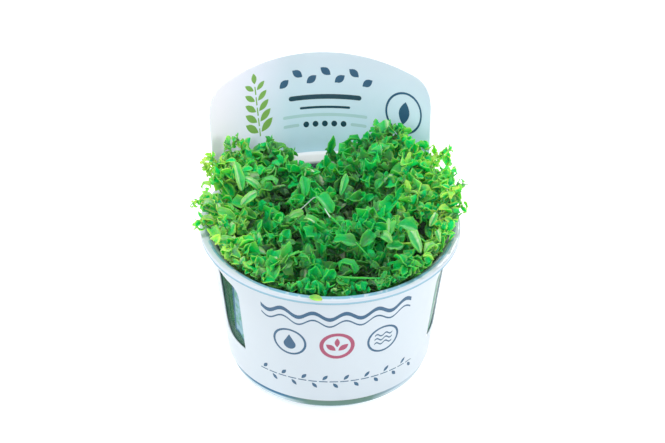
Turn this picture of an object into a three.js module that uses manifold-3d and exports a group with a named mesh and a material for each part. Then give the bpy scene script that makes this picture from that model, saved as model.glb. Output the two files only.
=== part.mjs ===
// Pearlweed grown in a clear plastic cup: the cup, the printed sleeve round it with its
// tall back tab, the nutrient gel, the tangle of lower stems and roots, the leafy
// plantlets on top and one loose leaf on the rim. Millimetres, +Z up. The origin is the
// centre of the cup's foot, and -Y is the front.

import * as THREE from 'three';
import { mergeVertices } from 'three/addons/utils/BufferGeometryUtils.js';
import Module from 'manifold-3d';

const wasm = await Module();
wasm.setup();

// Cup
const cupHeight = 61;
const rimRadius = 50;
const rimFlatRadius = 47.6;
const lipUnderside = 59.8;
const lipBevel = { inwards: 0.7, down: 0.4 };
const lipSlope = { inwards: 1.9, down: 1.7 };
const wallLow = { radius: 39.5, z: 5.6 };
const wallTop = { radius: 45.3, z: 58.4 };
const wallThickness = 0.8;
const floorThickness = 1.2;
const footRadius = 36;
const footCorner = 3.5;
const footCornerSteps = 3;
const roundSegments = 48;

// Printed sleeve, which leans back off the cup towards its tab. The angles of its lean are
// degrees from the back.
const sleeveThickness = 0.4;
const sleeveGap = 0.3;
const sleeveBottom = 5.3;
const sleeveTop = 58.1;
const fullLeanAngle = 60;
const noLeanAngle = 101;
const tabRimRadius = 50.8;
const tabHalfWidthLow = 42.3;
const tabHalfWidthHigh = 43.6;
const tabShoulder = 88;
const tabCorner = { x: 37.5, z: 97.8 };
const tabTop = 102;
const tabRoot = 5;

// Windows in the sleeve, one each side, placed in degrees from the front
const windowAngles = [-66.6, 68.3];
const windowLow = 19.3;
const windowHigh = 49.7;
const windowWidth = 14.9;
const windowFrontRound = 5;
const windowBackRound = 8;

// Blocks that cut the sleeve reach this far
const outsideCup = 70;
const insideWall = 25;

// Nutrient gel, which creeps up a little where it meets the wall
const contentGap = 0.35;
const gelTop = 15;
const meniscus = { width: 1.5, fall: 0.7, level: 0.9 };

// Tangle of lower stems: heights of the rings up its side, and shares of its radius for
// the rings across its top. It lies lower at the wall and on slopes, and its faces are
// ragged.
const tangleSegments = 30;
const tangleSideHeights = [20, 27, 34, 41];
const tangleTopShares = [1, 0.84, 0.66, 0.48, 0.3, 0.14];
const tangleEdgeHeight = 45;
const tangleEdge = { from: 0.85, beyond: 6, drop: 4 };
const tangleSlopeDrop = 6.5;
const raggedSide = 0.03;
const raggedTop = 2.4;

// Plantlets in rings round one in the middle
const plantletRings = [6, 12, 18];
const ringRadius = 37.6;
const ringTurn = 0.3;
const ringOffset = 0.37;
const plantletHeight = 11.5;
const plantletGap = 0.25;
const plantletTurn = 1.7;
const frontSpread = 2.2;
const sideSpread = 6;
const overhang = 5;

// A stem with whorls of leaves. A leaf is broadest and its ridge highest at shares of its
// length, and its tip droops.
const stemSides = 4;
const stemRadius = 0.8;
const whorlTurn = 0.8;
const leafThickness = 0.8;
const leafWidth = 0.9;
const leafBroadest = 0.6;
const leafRidge = 0.5;
const leafDroop = 0.08;
const riseVariation = 16;
const lengthVariation = 0.24;

// Whorls from the lowest up: share of the height, rise in degrees and longest leaf
const whorls = [
  { height: 0.22, rise: 8, length: 7 },
  { height: 0.5, rise: 22, length: 8 },
  { height: 0.74, rise: 40, length: 8.5 },
];

// Canopy: a level, and the mounds and dips that rise or sink from it
const canopyLevel = 64;
const canopyMounds = [
  { x: -18, y: 35, rise: 9, spread: 12 },
  { x: 28, y: 31, rise: 17, spread: 12 },
  { x: 45, y: 6, rise: 11, spread: 12 },
  { x: -43, y: 17, rise: 11, spread: 12 },
  { x: 3, y: 0, rise: 4, spread: 15 },
  { x: 0, y: -42, rise: -4, spread: 20 },
  { x: -4, y: 43, rise: -6, spread: 9 },
];

// Loose leaf on the front of the rim
const rimLeaf = { x: -10.7, y: -47.9, length: 4.6, width: 3, thickness: 0.5, turn: -0.35 };

const finishes = {
  clearPlastic: { color: 0xdcebf2, roughness: 0.2, metalness: 0 },
  printedFilm: { color: 0xdde9f2, roughness: 0.45, metalness: 0 },
  gel: { color: 0xc9d9c4, roughness: 0.25, metalness: 0 },
  tangle: { color: 0x3c5f35, roughness: 0.7, metalness: 0 },
  leaf: { color: 0x46a83f, roughness: 0.5, metalness: 0 },
  paleLeaf: { color: 0x9fce4a, roughness: 0.5, metalness: 0 },
};

// A repeatable number from 0 to 1 for a piece and a place on it
const scramble = { piece: 127.1, place: 311.7, stretch: 43758.5453 };

function chance(piece, place) {
  const value = Math.sin(piece * scramble.piece + place * scramble.place) * scramble.stretch;
  return value - Math.floor(value);
}

function outerRadius(z) {
  const slope = (wallTop.radius - wallLow.radius) / (wallTop.z - wallLow.z);
  return wallLow.radius + slope * (z - wallLow.z);
}

function innerRadius(z) {
  return outerRadius(z) - wallThickness;
}

function canopyHeight(x, y) {
  let height = canopyLevel;
  for (const mound of canopyMounds) {
    const distance = Math.hypot(x - mound.x, y - mound.y) / mound.spread;
    height += mound.rise * Math.exp(-0.5 * distance * distance);
  }
  return height;
}

// Keeps only the positions, with each shared corner a single vertex
function withSharedCorners(geometry) {
  const bare = geometry.clone();
  bare.deleteAttribute('normal');
  bare.deleteAttribute('uv');
  return mergeVertices(bare, 1e-4);
}

// A closed geometry as a solid that can be joined and cut
function toSolid(geometry) {
  const merged = withSharedCorners(geometry);
  return new wasm.Manifold(new wasm.Mesh({
    numProp: 3,
    vertProperties: merged.attributes.position.array,
    triVerts: new Uint32Array(merged.index.array),
  }));
}

function toGeometry(solid) {
  const mesh = solid.getMesh();
  const geometry = new THREE.BufferGeometry();
  geometry.setAttribute('position', new THREE.BufferAttribute(mesh.vertProperties, 3));
  geometry.setIndex(new THREE.BufferAttribute(mesh.triVerts, 1));
  geometry.computeVertexNormals();
  return geometry;
}

// Turns a profile of [radius, height] points round the Z axis
function turned(points, segments) {
  const profile = points.map(([radius, z]) => new THREE.Vector2(radius, z));
  const geometry = new THREE.LatheGeometry(profile, segments);
  geometry.rotateX(Math.PI / 2);
  return withSharedCorners(geometry);
}

function moveVertices(geometry, move) {
  const position = geometry.attributes.position;
  const point = new THREE.Vector3();
  for (let i = 0; i < position.count; i++) {
    point.fromBufferAttribute(position, i);
    move(point);
    position.setXYZ(i, point.x, point.y, point.z);
  }
  return geometry;
}

// The round corner from the foot up to the wall, moved inwards by a thickness
function cornerPoints(inset, floor) {
  const reach = outerRadius(footCorner) - footRadius;
  const points = [];
  for (let step = 0; step <= footCornerSteps; step++) {
    const turn = (step / footCornerSteps) * (Math.PI / 2);
    points.push([
      footRadius - inset + reach * Math.sin(turn),
      floor + footCorner * (1 - Math.cos(turn)),
    ]);
  }
  return points;
}

function cup() {
  return turned([
    [0, 0],
    ...cornerPoints(0, 0),
    [wallTop.radius, wallTop.z],
    [rimRadius - lipBevel.inwards, lipUnderside - lipBevel.down],
    [rimRadius, lipUnderside],
    [rimRadius, cupHeight - lipBevel.down],
    [rimRadius - lipBevel.inwards, cupHeight],
    [rimFlatRadius, cupHeight],
    [rimFlatRadius - lipSlope.inwards, cupHeight - lipSlope.down],
    [innerRadius(wallTop.z), wallTop.z],
    ...cornerPoints(wallThickness, floorThickness).reverse(),
    [0, floorThickness],
  ], roundSegments);
}

// How far the sleeve leans back: 1 across the tab, 0 from the windows forwards
function leanShare(x, y) {
  const angleFromBack = THREE.MathUtils.radToDeg(Math.abs(Math.atan2(x, y)));
  return 1 - THREE.MathUtils.smoothstep(angleFromBack, fullLeanAngle, noLeanAngle);
}

// A thin cone round the cup, taller than the tab, whose back passes outside the rim
function leaningCone() {
  const low = outerRadius(sleeveBottom) + sleeveGap;
  const cutHeight = tabTop + tabRoot;
  const high = outerRadius(cutHeight) + sleeveGap;
  const rimHigh = outerRadius(cupHeight) + sleeveGap + sleeveThickness;
  const lean = (tabRimRadius - rimHigh) / (cupHeight - sleeveBottom);
  const cone = turned([
    [low, sleeveBottom],
    [low + sleeveThickness, sleeveBottom],
    [high + sleeveThickness, cutHeight],
    [high, cutHeight],
    [low, sleeveBottom],
  ], roundSegments);
  return moveVertices(cone, (point) => {
    const radius = Math.hypot(point.x, point.y);
    const push = leanShare(point.x, point.y) * lean * (point.z - sleeveBottom);
    point.x *= 1 + push / radius;
    point.y *= 1 + push / radius;
  });
}

// A flat outline in X and Z, pushed along Y from near to far
function pushedOutline(shape, near, far) {
  const settings = { depth: far - near, bevelEnabled: false, curveSegments: 6 };
  const geometry = new THREE.ExtrudeGeometry(shape, settings);
  geometry.rotateX(Math.PI / 2);
  geometry.translate(0, far, 0);
  return geometry;
}

// The tab seen from the front, with a crowned top and round corners
function tabOutline() {
  const shape = new THREE.Shape();
  shape.moveTo(-tabHalfWidthLow, sleeveTop - tabRoot);
  shape.lineTo(tabHalfWidthLow, sleeveTop - tabRoot);
  shape.lineTo(tabHalfWidthHigh, tabShoulder);
  shape.quadraticCurveTo(tabHalfWidthHigh, tabCorner.z - 1, tabCorner.x, tabCorner.z);
  shape.quadraticCurveTo(0, 2 * tabTop - tabCorner.z, -tabCorner.x, tabCorner.z);
  shape.quadraticCurveTo(-tabHalfWidthHigh, tabCorner.z - 1, -tabHalfWidthHigh, tabShoulder);
  shape.closePath();
  return pushedOutline(shape, 0, outsideCup);
}

// A window's outline, with round corners high at its front edge and low at its back edge
function windowCutter(angle) {
  const backwards = Math.sign(angle);
  const front = (-backwards * windowWidth) / 2;
  const back = -front;
  const shape = new THREE.Shape();
  shape.moveTo(front, windowLow);
  shape.lineTo(front, windowHigh - windowFrontRound);
  shape.quadraticCurveTo(front, windowHigh, front + backwards * windowFrontRound, windowHigh);
  shape.lineTo(back, windowHigh);
  shape.lineTo(back, windowLow + windowBackRound);
  shape.quadraticCurveTo(back, windowLow, back - backwards * windowBackRound, windowLow);
  shape.closePath();
  const cutter = pushedOutline(shape, -outsideCup, -insideWall);
  cutter.rotateZ(THREE.MathUtils.degToRad(angle));
  return cutter;
}

function labelSleeve() {
  const lower = new THREE.BoxGeometry(2 * outsideCup, 2 * outsideCup, sleeveTop);
  lower.translate(0, 0, sleeveTop / 2);
  const outline = toSolid(lower).add(toSolid(tabOutline()));
  let solid = toSolid(leaningCone()).intersect(outline);
  for (const angle of windowAngles) {
    solid = solid.subtract(toSolid(windowCutter(angle)));
  }
  return toGeometry(solid);
}

function nutrientGel() {
  const floor = floorThickness + contentGap;
  const cornerTop = floorThickness + footCorner + contentGap;
  const wallRadius = innerRadius(gelTop) - contentGap;
  return turned([
    [0, floor],
    [footRadius - wallThickness - contentGap, floor],
    [innerRadius(cornerTop) - 3 * contentGap, cornerTop - contentGap],
    [wallRadius, gelTop],
    [wallRadius - meniscus.width, gelTop - meniscus.fall],
    [0, gelTop - meniscus.level],
  ], roundSegments / 2);
}

function canopySlope(x, y) {
  const across = canopyHeight(x + 1, y) - canopyHeight(x - 1, y);
  const back = canopyHeight(x, y + 1) - canopyHeight(x, y - 1);
  return Math.hypot(across, back) / 2;
}

// The top of the tangle follows the canopy, a plantlet's height below it and clear of the
// lowest leaves at the wall and on slopes
function tangleHeight(x, y) {
  const radius = Math.hypot(x, y);
  const edgeFrom = tangleEdge.from * ringRadius;
  const edge = THREE.MathUtils.smoothstep(radius, edgeFrom, ringRadius + tangleEdge.beyond);
  const drop = plantletHeight + tangleEdge.drop * edge + tangleSlopeDrop * canopySlope(x, y);
  return canopyHeight(x, y) - drop;
}

// Which of the segments round the Z axis a point stands on
function segmentAt(x, y, segments) {
  const step = Math.round((Math.atan2(y, x) / (2 * Math.PI)) * segments);
  return (step + segments) % segments;
}

function tangleRadius(z) {
  return innerRadius(z) - 2 * contentGap;
}

function stemTangle() {
  const bottom = gelTop + contentGap;
  const edgeRadius = tangleRadius(tangleEdgeHeight);
  const profile = [[0, bottom]];
  for (const z of [bottom, ...tangleSideHeights]) {
    profile.push([tangleRadius(z), z]);
  }
  for (const share of tangleTopShares) {
    profile.push([share * edgeRadius, tangleEdgeHeight]);
  }
  profile.push([0, tangleEdgeHeight]);
  const geometry = turned(profile, tangleSegments);
  return moveVertices(geometry, (point) => {
    const radius = Math.hypot(point.x, point.y);
    const column = segmentAt(point.x, point.y, tangleSegments);
    const ragged = chance(column, Math.round(point.z) + 3 * Math.round(radius));
    if (point.z < bottom + 1) {
      return;
    }
    if (point.z < tangleEdgeHeight - 1) {
      point.x *= 1 - raggedSide * ragged;
      point.y *= 1 - raggedSide * ragged;
      return;
    }
    point.z = tangleHeight(point.x, point.y) - raggedTop * ragged;
    const widen = tangleRadius(Math.min(point.z, wallTop.z - 3)) / edgeRadius;
    point.x *= widen;
    point.y *= widen;
  });
}

// Plantlets stand in rings, each ring turned a little from the last
function plantletPlaces() {
  const places = [new THREE.Vector2(0, 0)];
  plantletRings.forEach((count, ring) => {
    const radius = ((ring + 1) / plantletRings.length) * ringRadius;
    for (let i = 0; i < count; i++) {
      const turn = ((i + ringOffset * ring) / count) * 2 * Math.PI + ringTurn;
      places.push(new THREE.Vector2(radius * Math.cos(turn), radius * Math.sin(turn)));
    }
  });
  return places;
}

// The free reach round a plantlet before its leaves would meet a neighbour's
function freeReach(place, places) {
  const others = places.filter((other) => other !== place);
  const nearest = Math.min(...others.map((other) => other.distanceTo(place)));
  return nearest / 2 - plantletGap;
}

// A closed surface that grows face by face
class Surface {
  points = [];
  triangles = [];

  point(x, y, z) {
    this.points.push(x, y, z);
    return this.points.length / 3 - 1;
  }

  face(...corners) {
    for (let i = 2; i < corners.length; i++) {
      this.triangles.push(corners[0], corners[i - 1], corners[i]);
    }
  }

  geometry() {
    const geometry = new THREE.BufferGeometry();
    geometry.setAttribute('position', new THREE.Float32BufferAttribute(this.points, 3));
    geometry.setIndex(this.triangles);
    return geometry;
  }
}

// A ring of corners round the stem
function stemRing(surface, height, radius, turn) {
  const ring = [];
  for (let side = 0; side < stemSides; side++) {
    const angle = turn + (side / stemSides) * 2 * Math.PI;
    ring.push(surface.point(radius * Math.cos(angle), radius * Math.sin(angle), height));
  }
  return ring;
}

// Draws one side face of the stem out into a leaf: broad past its middle, then pointed
function growLeaf(surface, base, leaf) {
  const [lowLeft, lowRight, highRight, highLeft] = base;
  const outline = (share, across, lift) => {
    const out = stemRadius + share * (leaf.length - stemRadius) * Math.cos(leaf.rise);
    const up = share * leaf.length * Math.sin(leaf.rise) + lift;
    const x = out * Math.cos(leaf.turn) - across * Math.sin(leaf.turn);
    const y = out * Math.sin(leaf.turn) + across * Math.cos(leaf.turn);
    return surface.point(x, y, leaf.height + up);
  };
  const left = outline(leafBroadest, -leaf.width / 2, 0);
  const right = outline(leafBroadest, leaf.width / 2, 0);
  const middle = outline(leafRidge, 0, leafThickness);
  const tip = outline(1, 0, -leafDroop * leaf.length);
  surface.face(highRight, highLeft, middle);
  surface.face(right, highRight, middle);
  surface.face(tip, right, middle);
  surface.face(left, tip, middle);
  surface.face(highLeft, left, middle);
  surface.face(lowLeft, lowRight, right, left);
  surface.face(left, right, tip);
  surface.face(highLeft, lowLeft, left);
  surface.face(lowRight, highRight, right);
}

// A stem with its whorls of leaves, standing upright at the origin
function plantletGeometry(index, reach, height) {
  const surface = new Surface();
  const startTurn = index * plantletTurn;
  const foot = stemRing(surface, 0, stemRadius, startTurn);
  surface.face(...[...foot].reverse());
  let below = foot;
  whorls.forEach((whorl, level) => {
    const turn = startTurn + level * whorlTurn;
    const middle = whorl.height * height;
    const low = stemRing(surface, middle - leafThickness / 2, stemRadius, turn);
    const high = stemRing(surface, middle + leafThickness / 2, stemRadius, turn);
    for (let side = 0; side < stemSides; side++) {
      const next = (side + 1) % stemSides;
      const variation = chance(index, level * 10 + side) - 0.5;
      const rise = THREE.MathUtils.degToRad(whorl.rise + riseVariation * variation);
      const full = whorl.length * (1 + lengthVariation * variation);
      const length = Math.min(full, reach / Math.cos(rise));
      surface.face(below[side], below[next], low[next], low[side]);
      growLeaf(surface, [low[side], low[next], high[next], high[side]], {
        turn: turn + ((side + 0.5) / stemSides) * 2 * Math.PI,
        height: middle,
        length,
        rise,
        width: leafWidth * length,
      });
    }
    below = high;
  });
  const tip = surface.point(0, 0, height);
  for (let side = 0; side < stemSides; side++) {
    surface.face(below[side], below[(side + 1) % stemSides], tip);
  }
  return surface.geometry();
}

// Crowns spread outwards: most to the sides, where they hang over the rim
function crownShift(place) {
  const radius = place.length();
  const outward = (radius / ringRadius) ** 2;
  const sideways = (place.x / Math.max(radius, 1)) ** 2;
  return place.clone().setLength(outward * (frontSpread + sideSpread * sideways));
}

// The room for leaves: inside the wall, then over the rim
function leafRoom() {
  const inside = (z) => innerRadius(z) - contentGap;
  return toSolid(turned([
    [0, gelTop],
    [inside(gelTop), gelTop],
    [inside(wallTop.z), wallTop.z],
    [rimFlatRadius - lipSlope.inwards - 2 * contentGap, cupHeight - lipSlope.down + contentGap],
    [rimFlatRadius - contentGap, cupHeight + contentGap],
    [rimRadius + overhang, cupHeight + 4 * contentGap],
    [rimRadius + overhang, tabTop],
    [0, tabTop],
  ], roundSegments));
}

function plantlet(index, places, room) {
  const place = places[index];
  const shift = crownShift(place);
  const crown = canopyHeight(place.x + shift.x, place.y + shift.y);
  const foot = tangleHeight(place.x, place.y) + contentGap;
  const height = crown - foot;
  const geometry = plantletGeometry(index, freeReach(place, places), height);
  moveVertices(geometry, (point) => {
    const share = THREE.MathUtils.clamp(point.z / height, 0, 1.1);
    point.x += place.x + shift.x * share;
    point.y += place.y + shift.y * share;
    point.z += foot;
  });
  const parts = toSolid(geometry).intersect(room).decompose();
  parts.sort((a, b) => b.volume() - a.volume());
  return toGeometry(parts[0]);
}

// A single leaf that lies along the rim
function looseLeaf() {
  const blade = new THREE.SphereGeometry(0.5, 8, 4);
  blade.rotateX(Math.PI / 2);
  blade.scale(rimLeaf.length, rimLeaf.width, rimLeaf.thickness);
  blade.rotateZ(rimLeaf.turn);
  blade.translate(rimLeaf.x, rimLeaf.y, cupHeight + contentGap + rimLeaf.thickness / 2);
  return blade;
}

const pearlweed = new THREE.Group();

function addPiece(name, geometry, finish) {
  const mesh = new THREE.Mesh(geometry, new THREE.MeshStandardMaterial(finish));
  mesh.name = name;
  pearlweed.add(mesh);
}

addPiece('cup', cup(), finishes.clearPlastic);
addPiece('label_sleeve', labelSleeve(), finishes.printedFilm);
addPiece('nutrient_gel', nutrientGel(), finishes.gel);
addPiece('stem_tangle', stemTangle(), finishes.tangle);
const places = plantletPlaces();
const room = leafRoom();
places.forEach((place, index) => {
  const name = `plantlet_${String(index + 1).padStart(2, '0')}`;
  addPiece(name, plantlet(index, places, room), finishes.leaf);
});
addPiece('rim_leaf', looseLeaf(), finishes.paleLeaf);

export default pearlweed;
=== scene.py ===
# Pearlweed in a clear culture cup with a printed sleeve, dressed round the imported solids.
# Shapes are drawn in millimetres and scaled to metres when a piece is finished.
import math
import random

import bmesh
import bpy
from mathutils import Matrix, Quaternion, Vector, noise


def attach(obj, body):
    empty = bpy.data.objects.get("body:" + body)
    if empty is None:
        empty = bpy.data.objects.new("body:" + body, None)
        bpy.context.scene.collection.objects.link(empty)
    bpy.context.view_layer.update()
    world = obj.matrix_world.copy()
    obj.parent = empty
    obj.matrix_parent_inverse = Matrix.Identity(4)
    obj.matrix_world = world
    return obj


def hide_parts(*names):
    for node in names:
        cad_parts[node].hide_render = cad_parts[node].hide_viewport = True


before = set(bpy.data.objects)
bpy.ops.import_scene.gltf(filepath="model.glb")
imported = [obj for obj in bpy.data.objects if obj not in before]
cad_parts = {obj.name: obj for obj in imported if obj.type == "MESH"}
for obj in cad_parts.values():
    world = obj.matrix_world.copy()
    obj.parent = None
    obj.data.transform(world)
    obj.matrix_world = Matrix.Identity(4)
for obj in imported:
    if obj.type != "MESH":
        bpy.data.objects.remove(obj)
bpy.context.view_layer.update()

millimetre = 0.001
fullTurn = 2 * math.pi


# Small helpers
def smoothStep(value, low, high):
    share = min(max((value - low) / (high - low), 0), 1)
    return share * share * (3 - 2 * share)


def blendOf(low, high, share):
    return low + (high - low) * share


# A point at an angle from the front
def onCylinder(radius, angle, z):
    return Vector((radius * math.sin(angle), -radius * math.cos(angle), z))


# A level step at an angle from the right
def levelStep(length, angle):
    return Vector((length * math.cos(angle), length * math.sin(angle), 0))


def linkObject(name, data):
    made = bpy.data.objects.new(name, data)
    bpy.context.scene.collection.objects.link(made)
    return made


def finishPiece(name, mesh, materials, replaced=(), sharpAngle=40):
    mesh.transform(Matrix.Scale(millimetre, 4))
    mesh.name = name
    for material in materials:
        mesh.materials.append(material)
    mesh.shade_smooth()
    mesh.set_sharp_from_angle(angle=math.radians(sharpAngle))
    piece = linkObject(name, mesh)
    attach(piece, "root")
    if replaced:
        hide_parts(*replaced)
    return piece


def meshFrom(bm, name="shape"):
    mesh = bpy.data.meshes.new(name)
    bm.to_mesh(mesh)
    bm.free()
    return mesh


# The mesh that a curve or an object with a modifier shows
def shownMesh(made):
    graph = bpy.context.evaluated_depsgraph_get()
    mesh = bpy.data.meshes.new_from_object(made.evaluated_get(graph))
    bpy.data.objects.remove(made)
    return mesh


def addSpline(curve, kind, course):
    spline = curve.splines.new(kind)
    spline.points.add(len(course) - 1)
    for point, place in zip(spline.points, course):
        point.co = (*place, 1)
    return spline


def curveMesh(name, curve):
    mesh = shownMesh(linkObject(name, curve))
    bpy.data.curves.remove(curve)
    return mesh


# Adds nodes to a tree and feeds their inputs
class Nodes:
    def __init__(self, tree):
        self.tree = tree

    # An input takes a constant or another node's output
    def feed(self, socket, value):
        if isinstance(value, bpy.types.NodeSocket):
            self.tree.links.new(value, socket)
        elif socket.type == "RGBA":
            socket.default_value = (*value, 1)
        else:
            socket.default_value = value

    def add(self, kind, inputs=None, **settings):
        node = self.tree.nodes.new(kind)
        for name, value in settings.items():
            setattr(node, name, value)
        for name, value in (inputs or {}).items():
            self.feed(node.inputs[name], value)
        return node

    # Feeds the shader of a material
    def shade(self, **inputs):
        shader = self.tree.nodes["Principled BSDF"]
        for name, value in inputs.items():
            self.feed(shader.inputs[name.replace("_", " ")], value)

    def math(self, operation, first, second=0.5, clamp=False):
        inputs = {0: first, 1: second}
        return self.add("ShaderNodeMath", inputs, operation=operation, use_clamp=clamp).outputs[0]

    def times(self, first, second, clamp=False):
        return self.math("MULTIPLY", first, second, clamp)

    def range(self, value, fromLow, fromHigh, toLow=0, toHigh=1):
        inputs = {"Value": value, "From Min": fromLow, "From Max": fromHigh,
                  "To Min": toLow, "To Max": toHigh}
        return self.add("ShaderNodeMapRange", inputs).outputs["Result"]

    def mix(self, share, first, second, blend="MIX"):
        inputs = {0: share, 6: first, 7: second}
        return self.add("ShaderNodeMix", inputs, data_type="RGBA", blend_type=blend).outputs[2]

    def ramp(self, value, stops):
        node = self.add("ShaderNodeValToRGB", {"Fac": value})
        band = node.color_ramp
        while len(band.elements) < len(stops):
            band.elements.new(0.5)
        for element, (place, colour) in zip(band.elements, stops):
            element.position = place
            element.color = (*colour, 1)
        return node.outputs["Color"]

    # Distance in metres
    def bump(self, height, distance, strength=1.0):
        inputs = {"Height": height, "Distance": distance, "Strength": strength}
        return self.add("ShaderNodeBump", inputs).outputs["Normal"]


def newMaterial(name):
    material = bpy.data.materials.new(name)
    material.use_nodes = True
    return material, Nodes(material.node_tree)


# Camera
view = {
    "lens": 105.35,         # on the usual 36 mm sensor
    "distance": 746.05,     # from the middle of the rim
    "elevation": 35.06,
    "azimuth": -7,
    "roll": -0.82,
    "aimRight": 0.878,
    "aimHeight": 61,
}


def placeCamera():
    data = bpy.data.cameras.new("camera")
    data.lens = view["lens"]
    data.clip_start = 0.01
    camera = linkObject("camera", data)
    tilt = math.radians(view["elevation"])
    back = -view["distance"] * math.cos(tilt)
    up = view["aimHeight"] + view["distance"] * math.sin(tilt)
    place = Matrix.Translation(Vector((view["aimRight"], back, up)) * millimetre)
    turn = Matrix.Rotation(math.radians(view["azimuth"]), 4, "Z")
    look = Matrix.Rotation(math.radians(90) - tilt, 4, "X")
    roll = Matrix.Rotation(math.radians(-view["roll"]), 4, "Z")
    camera.matrix_world = turn @ place @ look @ roll
    bpy.context.scene.camera = camera


placeCamera()

# Studio: white floor, white surroundings and soft lamps
studio = {
    "surround": 0.68,
    "floorSize": 6,
    "floorDrop": 0.00005,    # metres under the foot, so that the two faces don't meet
    "floorGlow": 0.32,
    "floorColour": (0.9, 0.9, 0.9),
    # name: (place in metres, size in metres, watts)
    "lamps": {
        "key_lamp": ((-0.30, 0.05, 0.65), 0.12, 2.0),
        "left_softbox": ((-0.75, -0.35, 0.35), 0.40, 0.8),
        "right_softbox": ((0.75, -0.30, 0.40), 0.40, 2.7),
        "front_fill": ((-0.09, -0.70, 0.55), 0.20, 0.8),
        "back_lamp": ((0.25, 0.50, 0.50), 0.15, 0.8),
    },
}


def buildSurround():
    scene = bpy.context.scene
    scene.view_settings.view_transform = "Standard"
    scene.world = bpy.data.worlds.new("surround")
    scene.world.use_nodes = True
    background = scene.world.node_tree.nodes["Background"]
    background.inputs["Color"].default_value = (1, 1, 1, 1)
    background.inputs["Strength"].default_value = studio["surround"]


# A round soft lamp that faces the middle of the ground
def addLamp(name, place, size, watts):
    data = bpy.data.lights.new(name, "AREA")
    data.shape = "DISK"
    data.size = size
    data.energy = watts
    lamp = linkObject(name, data)
    lamp.location = place
    lamp.rotation_euler = (-Vector(place)).to_track_quat("-Z", "Y").to_euler()


def floorMaterial():
    material, nodes = newMaterial("floor white")
    nodes.shade(Base_Color=studio["floorColour"], Roughness=0.9, Specular_IOR_Level=0.1,
                Emission_Color=(1, 1, 1), Emission_Strength=studio["floorGlow"])
    return material


def buildFloor():
    bm = bmesh.new()
    bmesh.ops.create_grid(bm, x_segments=1, y_segments=1, size=studio["floorSize"] / 2)
    bmesh.ops.translate(bm, vec=(0, 0, -studio["floorDrop"]), verts=bm.verts[:])
    floor = linkObject("studio_floor", meshFrom(bm, "studio_floor"))
    floor.data.materials.append(floorMaterial())


buildSurround()
for lampName, lamp in studio["lamps"].items():
    addLamp(lampName, *lamp)
buildFloor()
print("stage: camera and studio")


# The three object coordinates, in millimetres
def inMillimetres(nodes):
    place = nodes.add("ShaderNodeTexCoord").outputs["Object"]
    scaled = nodes.add("ShaderNodeVectorMath", {0: place, "Scale": 1 / millimetre}, operation="SCALE")
    return tuple(nodes.add("ShaderNodeSeparateXYZ", {"Vector": scaled.outputs["Vector"]}).outputs)


# Soft patches that many surfaces share
def patchGroup():
    group = bpy.data.node_groups.new("patches", "ShaderNodeTree")
    for name, value in (("Size", 400.0), ("Stretch", 1.0), ("Low", 0.0), ("High", 1.0)):
        socket = group.interface.new_socket(name, in_out="INPUT", socket_type="NodeSocketFloat")
        socket.default_value = value
    group.interface.new_socket("Value", in_out="OUTPUT", socket_type="NodeSocketFloat")
    nodes = Nodes(group)
    given = nodes.add("NodeGroupInput").outputs
    place = nodes.add("ShaderNodeTexCoord").outputs["Object"]
    stretch = nodes.add("ShaderNodeCombineXYZ", {"X": 1, "Y": 1, "Z": given["Stretch"]})
    scaled = nodes.add("ShaderNodeVectorMath", {0: place, 1: stretch.outputs["Vector"]}, operation="MULTIPLY")
    inputs = {"Vector": scaled.outputs["Vector"], "Scale": given["Size"], "Detail": 3}
    cloud = nodes.add("ShaderNodeTexNoise", inputs).outputs["Fac"]
    nodes.add("NodeGroupOutput", {"Value": nodes.range(cloud, 0.3, 0.7, given["Low"], given["High"])})
    return group


patches = patchGroup()


# The patches run from low to high. They are finer at a larger size, and a small stretch
# draws them out into upright strands.
def addPatches(nodes, size, low=0.0, high=1.0, stretch=1.0):
    inputs = {"Size": size, "Low": low, "High": high, "Stretch": stretch}
    return nodes.add("ShaderNodeGroup", inputs, node_tree=patches).outputs["Value"]


leafLook = {
    # colours by age, from the painted shade of the gaps through olive, green and fresh to yellow
    "agesAndShade": [
        (0.0, (0.100, 0.22, 0.150)), (0.20, (0.060, 0.29, 0.078)), (0.34, (0.002, 0.42, 0.090)),
        (0.56, (0.002, 0.42, 0.090)), (0.76, (0.09, 0.50, 0.085)), (1.0, (0.36, 0.60, 0.10)),
    ],
    "patchAge": 0.10,
    "tipAge": 0.12,                  # how much yellower the tip is than the base
    # paler margins, partly the leaf's colour and partly painted rim light
    "edge": (0.30, 0.58, 0.075),
    "edgeFrom": 0.24,                # of the width, from the midrib
    "edgeShare": 0.34,
    "edgeSides": (18, 44),           # the paler margins, partly painted rim light, grow from here to here, to the two sides
    "edgeGrowth": (0.5, 1.9),
    "veinShare": 0.05,
    "paintedSheen": (0.64, 0.83, 0.52),     # painted sheen down one half of some leaves
    "paintedSheenAt": 0.27,                 # of the width, from one edge
    "paintedSheenReach": 0.30,
    "ribs": 46,                      # radians of the rib wave from base to tip
    "ribSlant": -36,
    "ribHeight": 0.25,
}


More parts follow.
